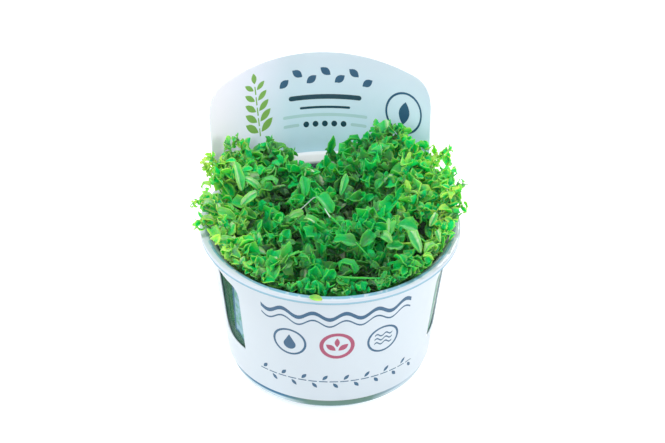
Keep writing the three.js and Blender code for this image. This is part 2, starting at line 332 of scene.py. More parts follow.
def leafMaterial():
    look = leafLook
    material, nodes = newMaterial("leaf green")
    tint = nodes.add("ShaderNodeAttribute", attribute_name="tint").outputs["Color"]
    # The tint's channels: age, whose low end is painted shade; brightness, which carries painted light and
    # shade; and the strength of a painted sheen
    ageAndShade, bright, pale = nodes.add("ShaderNodeSeparateColor", {"Color": tint}).outputs
    uv = nodes.add("ShaderNodeUVMap", uv_map="UVMap").outputs["UV"]
    across, along, _ = nodes.add("ShaderNodeSeparateXYZ", {"Vector": uv}).outputs
    tipAge = nodes.range(along, 0.2, 1.0, -look["tipAge"] / 2, look["tipAge"])
    patchAge = addPatches(nodes, 350, -look["patchAge"], look["patchAge"])
    colour = nodes.ramp(nodes.math("ADD", ageAndShade, nodes.math("ADD", patchAge, tipAge)), look["agesAndShade"])
    fromMidrib = nodes.math("ABSOLUTE", nodes.math("SUBTRACT", across, 0.5))
    fromMiddle = nodes.math("ABSOLUTE", inMillimetres(nodes)[0])
    # Paler margins, partly the leaf's colour and partly painted rim light, stronger towards the two sides
    stronger = nodes.range(fromMiddle, *look["edgeSides"], *look["edgeGrowth"])
    uneven = nodes.times(stronger, addPatches(nodes, 260, 0, 2 * look["edgeShare"]))
    edge = nodes.times(nodes.range(fromMidrib, look["edgeFrom"], 0.5), uneven, clamp=True)
    vein = nodes.range(fromMidrib, 0.05, 0.0, 0, look["veinShare"])
    colour = nodes.mix(nodes.math("MAXIMUM", edge, vein), colour, look["edge"])
    # The brightness, with its painted light and shade, multiplies the colour
    grey = nodes.add("ShaderNodeCombineColor", {"Red": bright, "Green": bright, "Blue": bright})
    colour = nodes.mix(1.0, colour, grey.outputs["Color"], "MULTIPLY")
    # Painted sheen down one half of the leaves that the pale channel marks
    fromPaintedSheen = nodes.math("ABSOLUTE", nodes.math("SUBTRACT", across, look["paintedSheenAt"]))
    soft = nodes.range(fromPaintedSheen, look["paintedSheenReach"], 0.0, 0.1, 1)
    paintedSheen = nodes.times(pale, nodes.times(soft, addPatches(nodes, 420, 0.5, 1.35)), clamp=True)
    slant = nodes.math("ADD", nodes.times(along, look["ribs"]), nodes.times(fromMidrib, look["ribSlant"]))
    ribs = nodes.times(nodes.math("SINE", slant), look["ribHeight"])
    relief = nodes.math("SUBTRACT", ribs, nodes.range(fromMidrib, 0.08, 0.0))
    nodes.shade(Base_Color=nodes.mix(paintedSheen, colour, look["paintedSheen"]), Normal=nodes.bump(relief, 0.00012, 0.6),
                Roughness=addPatches(nodes, 900, 0.35, 0.60), Specular_IOR_Level=0.08,
                Subsurface_Weight=0.7, Subsurface_Radius=(0.5, 1.0, 0.15), Subsurface_Scale=0.002)
    return material


def rootMaterial():
    material, nodes = newMaterial("root pale")
    colour = nodes.mix(addPatches(nodes, 260), (0.42, 0.55, 0.50), (0.62, 0.72, 0.70))
    nodes.shade(Base_Color=colour, Roughness=0.4, Specular_IOR_Level=0.35,
                Normal=nodes.bump(addPatches(nodes, 1800, stretch=0.2), 0.0001, 0.5))
    return material


def coreMaterial():
    material, nodes = newMaterial("undergrowth with painted shade")
    strands = addPatches(nodes, 420, stretch=0.35)
    # Dull grey-green: partly the tangle's own colour, partly painted shade of the gaps between the leaves
    stops = [(0.0, (0.10, 0.145, 0.135)), (0.5, (0.12, 0.185, 0.155)), (1.0, (0.13, 0.26, 0.15))]
    nodes.shade(Base_Color=nodes.ramp(strands, stops), Roughness=0.65, Specular_IOR_Level=0.2,
                Normal=nodes.bump(strands, 0.0012))
    return material


leafGreen = leafMaterial()
rootPale = rootMaterial()
coreWithShade = coreMaterial()
print("stage: shared materials")

# Cup
cup = {
    "height": 61,
    "rimRadius": 50,
    "rimFlatRadius": 47.6,
    "lipUnderside": 59.0,
    "wallLow": (39.5, 5.6),      # radius and height
    "wallTop": (45.3, 58.4),
    "wall": 0.8,
    "floor": 1.2,
    "footRadius": 36,
    "footCorner": 3.5,
    "sides": 144,
}

plasticLook = {
    "wallStops": [(0.2, (0.005, 0.085, 0.040)), (0.55, (0.010, 0.155, 0.070)), (0.9, (0.04, 0.25, 0.12))],
    "wallFresh": (0.06, 0.30, 0.10),
    "wallLow": (0.13, 0.28, 0.22),  # paler at the lower end of each window
    "wallLowHeights": (27, 22),
    "wallAlpha": 0.42,
    "haze": (0.30, 0.50, 0.60),     # pale strip beside the front edge of each window
    "hazeRight": (0.19, 0.34, 0.29),
    "hazeGreen": (0.17, 0.42, 0.31),
    "hazeLine": (0.06, 0.16, 0.27),
    "hazeAlpha": 0.80,
    "hazeTop": 51,
    "hazeHeights": (50, 26),
    "hazeAngle": (62, 65.5),        # degrees from the front, at those two heights
    "hazeWider": 16,                # degrees more in the right window
    "hazeDeeper": 9,                # how much lower it ends there
    "hazeLowAngles": (56, 62),
    "hazeLow": (21, 25.5),          # heights of its lower end, at those two angles
    "lip": (0.60, 0.67, 0.74),
    "lipBack": (0.95, 0.97, 1.0),   # paler behind the plants, where the rim catches the light
    "lipBackY": (20, 36),
    "lipGloss": 0.5,
    "lipAlpha": 0.93,
    "lipHeights": (58.2, 59.2),     # where the clear wall turns into the dense lip
    "lipShadowColour": (0.27, 0.47, 0.60),  # painted shadow: a blue line along the lower edge of the rim's outer side
    "lipShadowTop": 59.75,
    "innerGlintColour": (0.22, 0.46, 0.60),
    "innerGlintWidth": (0.4, 1.5),        # how wide the painted glints along the inner edge are, at the sides and the front
    "innerGlintY": (-30, -46),
    "footTop": 5.4,
    "footAlpha": 0.9,
    # colours from the ground up to the sleeve, at the front and at the sides: pale low down, painted light
    # where the clear corner lets the white around it through; green-grey at the front where the gel shows
    # through; blue at the top, painted shadow under the sleeve
    "footFront": [(0.24, (0.53, 0.67, 0.74)), (0.36, (0.16, 0.28, 0.25)), (0.84, (0.16, 0.27, 0.22)),
                  (0.90, (0.05, 0.16, 0.28))],
    "footSides": [(0.52, (0.62, 0.76, 0.83)), (0.64, (0.08, 0.21, 0.34)), (1.0, (0.05, 0.17, 0.32))],
    "footSideAngles": (18, 34),
    "footPale": (0.60, 0.71, 0.78),    # towards the right
    "footPaleX": (12, 28),
}


# The clear wall, with a pale haze along the front edge of each window
def wallColour(nodes, x, z, angle):
    look = plasticLook
    atRight = nodes.range(x, -5, 5)
    hazeEdge = nodes.range(z, *look["hazeHeights"], *look["hazeAngle"])
    hazeEdge = nodes.math("ADD", hazeEdge, nodes.times(atRight, look["hazeWider"]))
    hazeFloor = nodes.range(angle, *look["hazeLowAngles"], *look["hazeLow"])
    hazeFloor = nodes.math("SUBTRACT", hazeFloor, nodes.times(atRight, look["hazeDeeper"]))
    below = nodes.times(nodes.math("SUBTRACT", hazeFloor, z), 1.4)
    outside = nodes.math("MAXIMUM", nodes.math("SUBTRACT", angle, hazeEdge), below)
    atWindow = nodes.range(z, look["hazeTop"] + 1, look["hazeTop"])
    inHaze = nodes.times(nodes.range(outside, 0.3, -0.3), atWindow)
    onLine = nodes.times(nodes.range(nodes.math("ABSOLUTE", outside), 1.3, 0.5), atWindow)
    blotches = nodes.range(addPatches(nodes, 450), 0.4, 0.75)
    haze = nodes.mix(blotches, nodes.mix(atRight, look["haze"], look["hazeRight"]), look["hazeGreen"])
    colour = nodes.ramp(addPatches(nodes, 380, stretch=0.35), look["wallStops"])
    colour = nodes.mix(nodes.times(nodes.range(outside, 5, 1.5), blotches), colour, look["wallFresh"])
    colour = nodes.mix(nodes.range(z, *look["wallLowHeights"], 0, 0.9), colour, look["wallLow"])
    colour = nodes.mix(onLine, nodes.mix(inHaze, colour, haze), look["hazeLine"])
    shown = nodes.math("MAXIMUM", inHaze, onLine)
    return colour, nodes.range(shown, 0, 1, look["wallAlpha"], look["hazeAlpha"])


# The rim, with painted glints in a broken blue line along its inner edge, and a line of painted shadow
# along the lower edge of its outer side
def lipColour(nodes, y, z, radius):
    look = plasticLook
    outer = nodes.range(radius, cup["rimRadius"] - 0.6, cup["rimRadius"] - 0.2)
    lipShadow = nodes.times(outer, nodes.range(z, look["lipShadowTop"] + 0.15, look["lipShadowTop"]))
    paintedGlints = nodes.times(nodes.range(addPatches(nodes, 500), 0.0, 0.35), nodes.range(y, 15, -15))
    reach = nodes.range(y, *look["innerGlintY"], *look["innerGlintWidth"])
    beyond = nodes.math("SUBTRACT", radius, nodes.math("ADD", cup["rimFlatRadius"], reach))
    inner = nodes.times(nodes.range(beyond, 0.15, 0), paintedGlints)
    inner = nodes.times(inner, nodes.range(z, cup["height"] - 0.9, cup["height"] - 0.5))
    colour = nodes.mix(inner, nodes.mix(lipShadow, look["lip"], look["lipShadowColour"]), look["innerGlintColour"])
    return nodes.mix(nodes.range(y, *look["lipBackY"]), colour, look["lipBack"])


def footColour(nodes, x, z, angle):
    look = plasticLook
    # From the ground up: painted light in the clear corner, the gel, then painted shadow under the sleeve
    height = nodes.range(z, 0, look["footTop"])
    front, sides = nodes.ramp(height, look["footFront"]), nodes.ramp(height, look["footSides"])
    colour = nodes.mix(nodes.range(angle, *look["footSideAngles"]), front, sides)
    return nodes.mix(nodes.range(x, *look["footPaleX"], 0, 0.85), colour, look["footPale"])


def plasticMaterial():
    look = plasticLook
    material, nodes = newMaterial("clear plastic")
    x, y, z = inMillimetres(nodes)
    angle = nodes.math("ABSOLUTE", nodes.math("DEGREES", nodes.math("ARCTAN2", x, nodes.times(y, -1))))
    radius = nodes.math("SQRT", nodes.math("ADD", nodes.times(x, x), nodes.times(y, y)))
    lip = nodes.range(z, *look["lipHeights"])
    foot = nodes.range(z, look["footTop"] + 0.3, look["footTop"])
    colour, alpha = wallColour(nodes, x, z, angle)
    colour = nodes.mix(lip, colour, lipColour(nodes, y, z, radius))
    alpha = nodes.range(lip, 0, 1, alpha, look["lipAlpha"])
    nodes.shade(Base_Color=nodes.mix(foot, colour, footColour(nodes, x, z, angle)),
                Alpha=nodes.range(foot, 0, 1, alpha, look["footAlpha"]),
                Coat_Weight=nodes.times(lip, look["lipGloss"]), Roughness=addPatches(nodes, 120, 0.10, 0.2),
                Specular_IOR_Level=0.02, Normal=nodes.bump(addPatches(nodes, 60), 0.0002, 0.15))
    return material


plasticClear = plasticMaterial()


def outerRadius(z):
    (lowRadius, lowZ), (topRadius, topZ) = cup["wallLow"], cup["wallTop"]
    return lowRadius + (topRadius - lowRadius) * (z - lowZ) / (topZ - lowZ)


def innerRadius(z):
    return outerRadius(z) - cup["wall"]


def footCorner(inset, floor, steps=7):
    reach = outerRadius(cup["footCorner"]) - cup["footRadius"]
    points = []
    for step in range(steps + 1):
        turn = step / steps * math.pi / 2
        radius = cup["footRadius"] - inset + reach * math.sin(turn)
        points.append((radius, floor + cup["footCorner"] * (1 - math.cos(turn))))
    return points


def spinProfile(points, sides):
    bm = bmesh.new()
    verts = [bm.verts.new((radius, 0, z)) for radius, z in points]
    edges = [bm.edges.new(pair) for pair in zip(verts, verts[1:])]
    bmesh.ops.spin(bm, geom=verts + edges, axis=(0, 0, 1), cent=(0, 0, 0), dvec=(0, 0, 0),
                   angle=fullTurn, steps=sides, use_merge=True, use_duplicate=False)
    bmesh.ops.remove_doubles(bm, verts=bm.verts[:], dist=0.0005)
    bmesh.ops.recalc_face_normals(bm, faces=bm.faces[:])
    return bm


def buildCup():
    wall, wallTop = cup["wallTop"]
    rim, flat = cup["rimRadius"], cup["rimFlatRadius"]
    top, under = cup["height"], cup["lipUnderside"]
    lip = [
        (wall, wallTop), (wall + 1.2, wallTop + 0.3),
        (rim - 0.6, under - 0.3), (rim - 0.15, under - 0.15), (rim, under),
        (rim, top - 0.4), (rim - 0.2, top - 0.12), (rim - 0.7, top),
        (flat, top), (flat - 0.35, top - 0.15),
        (wall + 0.4, top - 1.7), (wall - 0.3, top - 2.2), (innerRadius(wallTop), wallTop),
    ]
    outside = [(0, 0)] + footCorner(0, 0)
    inside = footCorner(cup["wall"], cup["floor"])[::-1] + [(0, cup["floor"])]
    bm = spinProfile(outside + lip + inside, cup["sides"])
    return finishPiece("cup_moulding", meshFrom(bm), [plasticClear], ("cup",))


buildCup()
print("stage: cup")

# Printed sleeve, drawn flat: x runs round the cup from the front, z is the height
sleeve = {
    "drawRadius": 43,           # millimetres of x to one radian round the cup
    "clear": 0.7,               # outer face of the sleeve to the outer face of the cup
    "thickness": 0.4,
    "bottom": 5.3,
    "top": 58.1,
    "fullLean": 60,             # degrees from the back
    "noLean": 101,
    "tabRimRadius": 50.8,
    "tabLow": (42.3, 53.1),
    "tabShoulder": (43.6, 88),
    "tabCorner": (37.5, 97.8),
    "tabTop": 102,
    "seam": -95,                # degrees from the front
    "windowAngles": (-66.6, 68.3),
    "windowHalf": 7.5,
    "windowLow": 19.3,
    "windowHigh": 49.7,
    "windowFrontRound": 5,
    "windowBackRound": 8,
    "foldStep": 2.5,            # degrees between the bends round the cup
}
# On its inner face the tab is painted with the plants' green reflection low down, and with the light
# from behind painted in at its left end
tabShade = {
    "green": (1.02, 1.21, 1.25),    # times the film's colour
    "greenReflectionHeights": (100, 62),
    "light": (0.85, 0.82, 1.0),
    "lightX": (-10, -40),
}


def paperMaterial(name, colour, shaded=False):
    material, nodes = newMaterial(name)
    lighter = tuple(min(channel * 1.03, 1) for channel in colour)
    film = nodes.mix(addPatches(nodes, 25), colour, lighter)
    if shaded:
        x, _, z = inMillimetres(nodes)
        onTab = nodes.math("GREATER_THAN", z, sleeve["top"])
        # Painted on the tab's inner face: the plants' green reflection low down, and light at its left end
        low = nodes.times(nodes.range(z, *tabShade["greenReflectionHeights"]), onTab)
        film = nodes.mix(low, film, tuple(a * b for a, b in zip(colour, tabShade["green"])))
        left = nodes.times(nodes.range(x, *tabShade["lightX"]), onTab)
        film = nodes.mix(left, film, tabShade["light"])
    nodes.shade(Base_Color=film, Roughness=addPatches(nodes, 300, 0.32, 0.44), Specular_IOR_Level=0.4,
                Coat_Weight=0.15, Subsurface_Weight=0.7, Subsurface_Radius=(1, 1, 1), Subsurface_Scale=0.001,
                Normal=nodes.bump(addPatches(nodes, 2500), 0.00002, 0.3))
    return material


paperWhite = paperMaterial("printed film white", (0.56, 0.635, 0.70))
paperInside = paperMaterial("printed film inside", (0.55, 0.63, 0.71), shaded=True)
inkSlate = paperMaterial("ink slate blue", (0.022, 0.10, 0.20))
inkRose = paperMaterial("ink dusty rose", (0.35, 0.060, 0.130))
inkNavy = paperMaterial("ink navy", (0.009, 0.058, 0.098))
inkLeaf = paperMaterial("ink leaf green", (0.22, 0.42, 0.10))
inkGhost = paperMaterial("ghost of the print on the back", (0.42, 0.60, 0.62))


def degreesFromBack(angle):
    return abs(math.degrees(math.remainder(angle - math.pi, fullTurn)))


def sleeveRadius(angle, z):
    rimRadius = outerRadius(cup["height"]) + sleeve["clear"]
    lean = (sleeve["tabRimRadius"] - rimRadius) / (cup["height"] - sleeve["bottom"])
    share = 1 - smoothStep(degreesFromBack(angle), sleeve["fullLean"], sleeve["noLean"])
    return outerRadius(z) + sleeve["clear"] + share * lean * (z - sleeve["bottom"])


def arcX(degrees):
    return math.radians(degrees) * sleeve["drawRadius"]


# A point of the tab, given as seen from the front, in the flat drawing
def tabPoint(x, z):
    angle = 0
    for _ in range(6):
        angle = math.asin(x / sleeveRadius(math.pi - angle, z))
    return (math.pi - angle) * sleeve["drawRadius"], z


def quadratic(start, control, end, steps):
    points = []
    for step in range(steps + 1):
        t = step / steps
        points.append(tuple((1 - t) ** 2 * a + 2 * t * (1 - t) * b + t * t * c
                            for a, b, c in zip(start, control, end)))
    return points


def sleeveOutline():
    left, right = arcX(sleeve["seam"]), arcX(sleeve["seam"] + 360)
    bottom, top = sleeve["bottom"], sleeve["top"]
    low, shoulder, corner = sleeve["tabLow"], sleeve["tabShoulder"], sleeve["tabCorner"]
    root = (blendOf(low[0], shoulder[0], (top - low[1]) / (shoulder[1] - low[1])), top)
    between = tuple((a + b) / 2 for a, b in zip(root, shoulder))
    half = quadratic(root, between, shoulder, 6)
    half += quadratic(shoulder, (shoulder[0], corner[1] - 1), corner, 8)[1:]
    crown = quadratic((-corner[0], corner[1]), (0, 2 * sleeve["tabTop"] - corner[1]), corner, 40)
    tab = [(-x, z) for x, z in half] + crown[1:-1] + half[::-1]
    return [(left, bottom), (right, bottom), (right, top)] + [tabPoint(x, z) for x, z in tab] + [(left, top)]


# A window has round corners high at its front edge and low at its back edge
def windowOutline(angle):
    side = math.copysign(1, angle)
    middle = arcX(angle)
    front = middle - side * sleeve["windowHalf"]
    back = middle + side * sleeve["windowHalf"]
    low, high = sleeve["windowLow"], sleeve["windowHigh"]
    frontRound, backRound = sleeve["windowFrontRound"], sleeve["windowBackRound"]
    points = [(front, low)]
    points += quadratic((front, high - frontRound), (front, high), (front + side * frontRound, high), 6)
    points += [(back, high)]
    points += quadratic((back, low + backRound), (back, low), (back - side * backRound, low), 8)
    return points


# Printed motifs, each a closed outline or a list of them. An arc runs between two angles in degrees.
def arc(x, z, radius, start, end, steps):
    turns = [math.radians(start + (end - start) * step / steps) for step in range(steps + 1)]
    return [(x + radius * math.cos(turn), z + radius * math.sin(turn)) for turn in turns]


def circle(x, z, radius, steps=40):
    return arc(x, z, radius, 0, 360, steps)[:-1]


def ring(x, z, radius, width):
    return [circle(x, z, radius), circle(x, z, radius - width)]


def bar(x, z, length, height):
    reach = (length - height) / 2
    return arc(x + reach, z, height / 2, -90, 90, 8) + arc(x - reach, z, height / 2, 90, 270, 8)


def drop(x, z, radius):
    return [(x, z + 2.1 * radius)] + arc(x, z, radius, 150, 390, 24)


# A pointed leaf from its base, growing towards an angle in degrees
def leafOutline(x, z, length, width, angle, steps=9):
    turn = math.radians(angle)
    points = []
    for side in (1, -1):
        for step in range(steps):
            share = step / steps if side > 0 else 1 - step / steps
            along = share * length
            across = side * width / 2 * math.sin(math.pi * share) ** 0.9
            points.append((x + along * math.cos(turn) - across * math.sin(turn),
                           z + along * math.sin(turn) + across * math.cos(turn)))
    return points


def waveRibbon(x, z, length, rise, wave, width):
    steps = int(length / wave * 16)
    upper, lower = [], []
    for step in range(steps + 1):
        along = length * (step / steps - 0.5)
        height = z + rise * math.sin(fullTurn * along / wave)
        upper.append((x + along, height + width / 2))
        lower.append((x + along, height - width / 2))
    return lower + upper[::-1]


# An upright sprig: a stem in short lengths with a pair of leaves above each
def sprig(x, z, height, pairs, leafLength):
    shapes = []
    step = height / pairs
    for i in range(pairs):
        low = z + i * step
        top = low + 0.78 * step
        size = leafLength * (1 - 0.45 * i / pairs)
        shapes.append([(x - 0.3, low), (x + 0.3, low), (x + 0.25, top), (x - 0.25, top)])
        for side, angle in ((1, 40), (-1, 140)):
            shapes.append(leafOutline(x + 0.7 * side, low + 0.4 * step, size, 0.42 * size, angle))
    shapes.append(leafOutline(x, z + height, 0.6 * leafLength, 0.3 * leafLength, 90))
    return shapes


printing = {
    "frontMiddle": -2,
    "bandHeight": 48.6,
    "bandLength": 58,
    "bandRise": 1.5,
    "bandWave": 11.6,
    "bandLines": ((1.0, 1.9), (-2.6, 0.8)),    # height over the band's, and thickness
    "badgeHeight": 34.6,
    "badgeRadius": 6.6,
    "badgeGap": 18,
    "badgeLine": 0.9,
    "vineHeight": 15.6,
    "vineStart": -32,
    "vineLeaves": 16,
    "vineStep": 4.2,
    "tabMiddle": -3,            # to the right of the tab's middle, seen from the front
    "tabSquash": 0.77,          # the tab stands further out, where the drawing is stretched
}


# The round badges hold a drop, three leaves and three waves
def badges(middle):
    height, radius, line = printing["badgeHeight"], printing["badgeRadius"], printing["badgeLine"]
    left, right = middle - printing["badgeGap"], middle + printing["badgeGap"]
    slate = ring(left, height, radius, line) + [drop(left, height - 1.3, 2.4)]
    slate += ring(right, height, radius, line)
    slate += [waveRibbon(right, height + lift, 7.4, 0.6, 3.7, 0.7) for lift in (-1.9, 0.2, 2.3)]
    rose = ring(middle, height, radius, 1.5)
    rose += [leafOutline(middle + 0.5 * side, height - 2.4, 4.9, 2.4, 90 - 48 * side) for side in (1, -1)]
    rose.append(leafOutline(middle, height - 0.6, 4.6, 1.9, 90))
    return slate, rose


def vine(middle):
    z = printing["vineHeight"]
    shapes = []
    for i in range(printing["vineLeaves"]):
        x = middle + printing["vineStart"] + i * printing["vineStep"]
        side = -1 if i % 2 else 1
        shapes.append([(x, z - 0.25), (x + 3.4, z - 0.25), (x + 3.4, z + 0.25), (x, z + 0.25)])
        shapes.append(leafOutline(x + 1.4, z + 0.8 * side, 3.3, 1.5, 52 * side))
    return shapes


def frontPrint():
    middle = printing["frontMiddle"]
    length, rise, wave = printing["bandLength"], printing["bandRise"], printing["bandWave"]
    band = [waveRibbon(middle, printing["bandHeight"] + lift, length, rise, wave, width)
            for lift, width in printing["bandLines"]]
    slate, rose = badges(middle)
    return band + slate + vine(middle), rose


# Drawn round the tab's middle: a row of leaves, bars and dots, a ring with a leaf, a sprig,
# and the faint bars of the print on the back
def tabPrint():
    slate = [leafOutline(5.6 * i - 2.2, 92.6 - 0.1 * i ** 2, 5.0, 3.0, -38 if i % 2 else 38)
             for i in range(-3, 4)]
    slate += ring(-34, 81.5, 8.6, 0.9) + [leafOutline(-34, 76.6, 9.6, 5.0, 90)]
    navy = [bar(0, 83.6, 30, 2.0), bar(0, 79.2, 21, 1.0)]
    navy += [circle(4 * i, 72.2, 1.25, 20) for i in range(-2, 3)]
    green = sprig(29, 71, 22, 5, 7.5)
    ghost = [bar(0, 76.0, 36, 1.3), bar(-14.5, 72.2, 7, 1.3), bar(14.5, 72.2, 7, 1.3)]
    middle = arcX(180) + printing["tabMiddle"]
    return [[[(middle + x * printing["tabSquash"], z) for x, z in shape] for shape in shapes]
            for shapes in (slate, navy, green, ghost)]


# Fills closed outlines; one inside another is a hole
def filledMesh(outlines):
    curve = bpy.data.curves.new("flat outline", "CURVE")
    curve.dimensions = "2D"
    curve.fill_mode = "BOTH"
    for outline in outlines:
        addSpline(curve, "POLY", [(x, z, 0) for x, z in outline]).use_cyclic_u = True
    return curveMesh("flat outline", curve)


# The sheet drawn flat: each ink has faces of its own, and there are cuts where the sheet bends
def flatSheet():
    inks = [*frontPrint(), *tabPrint()]
    paper = [sleeveOutline()] + [windowOutline(angle) for angle in sleeve["windowAngles"]]
    for ink in inks:
        paper += ink
    bm = bmesh.new()
    for index, outlines in enumerate([paper] + inks):
        sheet = filledMesh(outlines)
        sheet.polygons.foreach_set("material_index", [index] * len(sheet.polygons))
        bm.from_mesh(sheet)
        bpy.data.meshes.remove(sheet)
    bmesh.ops.remove_doubles(bm, verts=bm.verts[:], dist=0.001)
    step = arcX(sleeve["foldStep"])
    for i in range(1, round(360 / sleeve["foldStep"])):
        everything = bm.verts[:] + bm.edges[:] + bm.faces[:]
        place = (arcX(sleeve["seam"]) + i * step, 0, 0)
        bmesh.ops.bisect_plane(bm, geom=everything, dist=0.0005, plane_no=(1, 0, 0), plane_co=place)
    return bm


# Wraps the sheet round the cup, closes it at the seam and turns its faces outwards
def wrapSheet(bm):
    for vert in bm.verts:
        angle, z = vert.co.x / sleeve["drawRadius"], vert.co.y
        vert.co = onCylinder(sleeveRadius(angle, z), angle, z)
    bmesh.ops.remove_doubles(bm, verts=bm.verts[:], dist=0.004)
    bm.normal_update()
    bm.faces.ensure_lookup_table()
    middle = bm.faces[0].calc_center_median()
    if bm.faces[0].normal.dot(Vector((middle.x, middle.y, 0))) < 0:
        bmesh.ops.reverse_faces(bm, faces=bm.faces[:])


# The front's inks show outside and the tab's inside
def buildSleeve():
    outside = [paperWhite, inkSlate, inkRose] + [paperWhite] * 4
    inside = [paperInside] * 3 + [inkSlate, inkNavy, inkLeaf, inkGhost]
    bm = flatSheet()
    wrapSheet(bm)
    flat = linkObject("sleeve sheet", meshFrom(bm))
    for material in outside + inside:
        flat.data.materials.append(material)
    wall = flat.modifiers.new("wall", "SOLIDIFY")
    wall.thickness = sleeve["thickness"]
    wall.offset = -1
    wall.material_offset = len(outside)
    return finishPiece("printed_sleeve", shownMesh(flat), [], ("label_sleeve",), 50)


buildSleeve()
print("stage: printed sleeve")

# Nutrient gel
gel = {
    "top": 15,
    "clear": 0.35,
    # in from the wall and down from the top, where the gel creeps up the wall
    "edge": ((0, 0), (0.5, 0.36), (1.6, 0.765), (4, 0.9)),
    "sides": 96,
    "deep": (0.13, 0.22, 0.17),
    "pale": (0.24, 0.33, 0.27),
}


def gelMaterial():
    material, nodes = newMaterial("nutrient gel")
    colour = nodes.mix(addPatches(nodes, 90), gel["deep"], gel["pale"])
    nodes.shade(Base_Color=colour, Roughness=0.2, Specular_IOR_Level=0.3)
    return material


def buildGel():
    floor = cup["floor"] + gel["clear"]
    wall = innerRadius(gel["top"]) - gel["clear"]
    profile = [(0, floor)] + footCorner(cup["wall"] + gel["clear"], floor)
    profile += [(wall - inwards, gel["top"] - down) for inwards, down in gel["edge"]]
    profile.append((0, profile[-1][1]))
    bm = spinProfile(profile, gel["sides"])
    return finishPiece("gel_fill", meshFrom(bm), [gelMaterial()], ("nutrient_gel",))


buildGel()
print("stage: gel")

# Growth: the canopy that the shoots reach, and the places of the plantlets under it
growth = {
    "level": 64,
    # x, y, rise and spread of each mound or dip
    "mounds": [(-18, 35, 9, 12), (28, 31, 17, 12), (45, 6, 11, 12), (-41.5, 19, 11, 11.5),
               (3, 0, 4, 15), (0, -42, -4, 20), (-4, 43, -6, 9)],
    # x, y, depth and spread of each gap between the shoots, where the leaves are painted in shade
    "hollows": [(-10, 1, 12, 4), (7, 1, 13, 4), (7, 15, 12, 4.5), (0, -24, 12, 5), (10, -32, 12, 5),
                (-15, -35, 10, 4), (-31, -1, 12, 3), (-17, 16, 11, 4.5), (-25, -15, 10, 3.5),
                (-15, -19, 10, 4), (20, 4, 10, 3.5), (32, -23, 12, 4), (-4, 44, 9, 8), (14, 34, 8, 3.5),
                (-21, 33, 8, 3)],
    "rings": (6, 12, 18),
    "ringRadius": 37.6,
    "ringTurn": 0.3,
    "ringShift": 0.37,          # how much of a step each ring is turned from the one inside it
    "frontSpread": 3.6,
    "sideSpread": 6,
    "plantletHeight": 11.5,
    "tangleSlope": 3.25,        # the tangle lies lower where the canopy slopes
    "tangleEdge": 4,            # and by this much at the wall
}


def canopyHeight(x, y):
    height = growth["level"]
    for moundX, moundY, rise, spread in growth["mounds"]:
        distance = math.hypot(x - moundX, y - moundY) / spread
        height += rise * math.exp(-0.5 * distance * distance)
    return height


# How far the shoots stay under the canopy in the given gaps
def gapDepth(x, y, gaps):
    deepest = 0
    for gapX, gapY, depth, spread in gaps:
        distance = math.hypot(x - gapX, y - gapY) / spread
        deepest = max(deepest, depth * math.exp(-0.5 * distance * distance))
    return deepest


def tangleHeight(x, y):
    across = canopyHeight(x + 1, y) - canopyHeight(x - 1, y)
    back = canopyHeight(x, y + 1) - canopyHeight(x, y - 1)
    edge = smoothStep(math.hypot(x, y), 0.85 * growth["ringRadius"], growth["ringRadius"] + 6)
    under = growth["plantletHeight"] + growth["tangleEdge"] * edge
    return canopyHeight(x, y) - under - growth["tangleSlope"] * math.hypot(across, back)


def plantletPlaces():
    places = [Vector((0, 0))]
    for ringIndex, count in enumerate(growth["rings"]):
        radius = (ringIndex + 1) / len(growth["rings"]) * growth["ringRadius"]
        for i in range(count):
            turn = (i + growth["ringShift"] * ringIndex) / count * fullTurn + growth["ringTurn"]
            places.append(levelStep(radius, turn).xy)
    return places


def crownShift(place):
    radius = max(place.length, 1)
    outward = (radius / growth["ringRadius"]) ** 2
    reach = outward * (growth["frontSpread"] + growth["sideSpread"] * (place.x / radius) ** 2)
    return place * (reach / radius)


# Whether a point lies clear of the cup's wall, the rim and the sleeve's tab. Leaves hang
# over the rim at the sides and stay inside it at the front.
overhang = {
    "reach": (47.6, 48.8),      # radius at the front and at the sides
    "reachY": (-22, 4),
    "rise": 0.35,               # further out for each millimetre over the rim
    "riseTo": 6,
    "wallGap": 0.5,
    "rimGap": 0.8,
    "rimRise": 3.2,             # height over which the room widens from the wall to the rim
    "tabGap": 0.6,
}


def hasRoom(point, beyond=0.0):
    radius = math.hypot(point.x, point.y)
    topRadius, topZ = cup["wallTop"]
    if point.z < topZ:
        return radius < innerRadius(point.z) - overhang["wallGap"]
    if point.z < cup["height"] + overhang["rimGap"]:
        share = (point.z - topZ) / overhang["rimRise"]
        return radius < blendOf(topRadius - overhang["rimGap"], cup["rimFlatRadius"], share)
    reach = blendOf(*overhang["reach"], smoothStep(point.y, *overhang["reachY"]))
    if radius > reach + beyond + overhang["rise"] * min(point.z - cup["height"], overhang["riseTo"]):
        return False
    angle = math.atan2(point.x, -point.y)
    if degreesFromBack(angle) < sleeve["fullLean"]:
        return radius < sleeveRadius(angle, point.z) - sleeve["thickness"] - overhang["tabGap"]
    return True


# Leaves: how many kinds there are, and the ranges that their traits are drawn from
leafVariety = {
    "kinds": 26,
    "seed": 3,
    "wall": 0.045,
    "ripples": 10,
    "rows": 7,
    "columns": 4,
}
leafTraits = {
    "width": (0.36, 0.74),
    "fold": (0.05, 0.95),       # rise of the halves from the midrib
    "hollow": (-0.9, 0.9),
    "curl": (-130, 220),        # degrees from base to tip
    "twist": (-60, 60),
    "blunt": (0.85, 1.45),      # over 1 the leaf is widest beyond its middle
    "point": (0.42, 0.72),      # how pointed the two ends are
    "notch": (0.0, 0.05),       # how uneven the outline is
    "wave": (0.1, 0.9),         # rise and fall of the margin
    "phase": (0, 6.28),
}


# A mesh whose points each bear a tint
def tintedMesh(bm, name):
    mesh = meshFrom(bm, name)
    mesh.color_attributes.new("tint", "FLOAT_COLOR", "POINT")
    return mesh


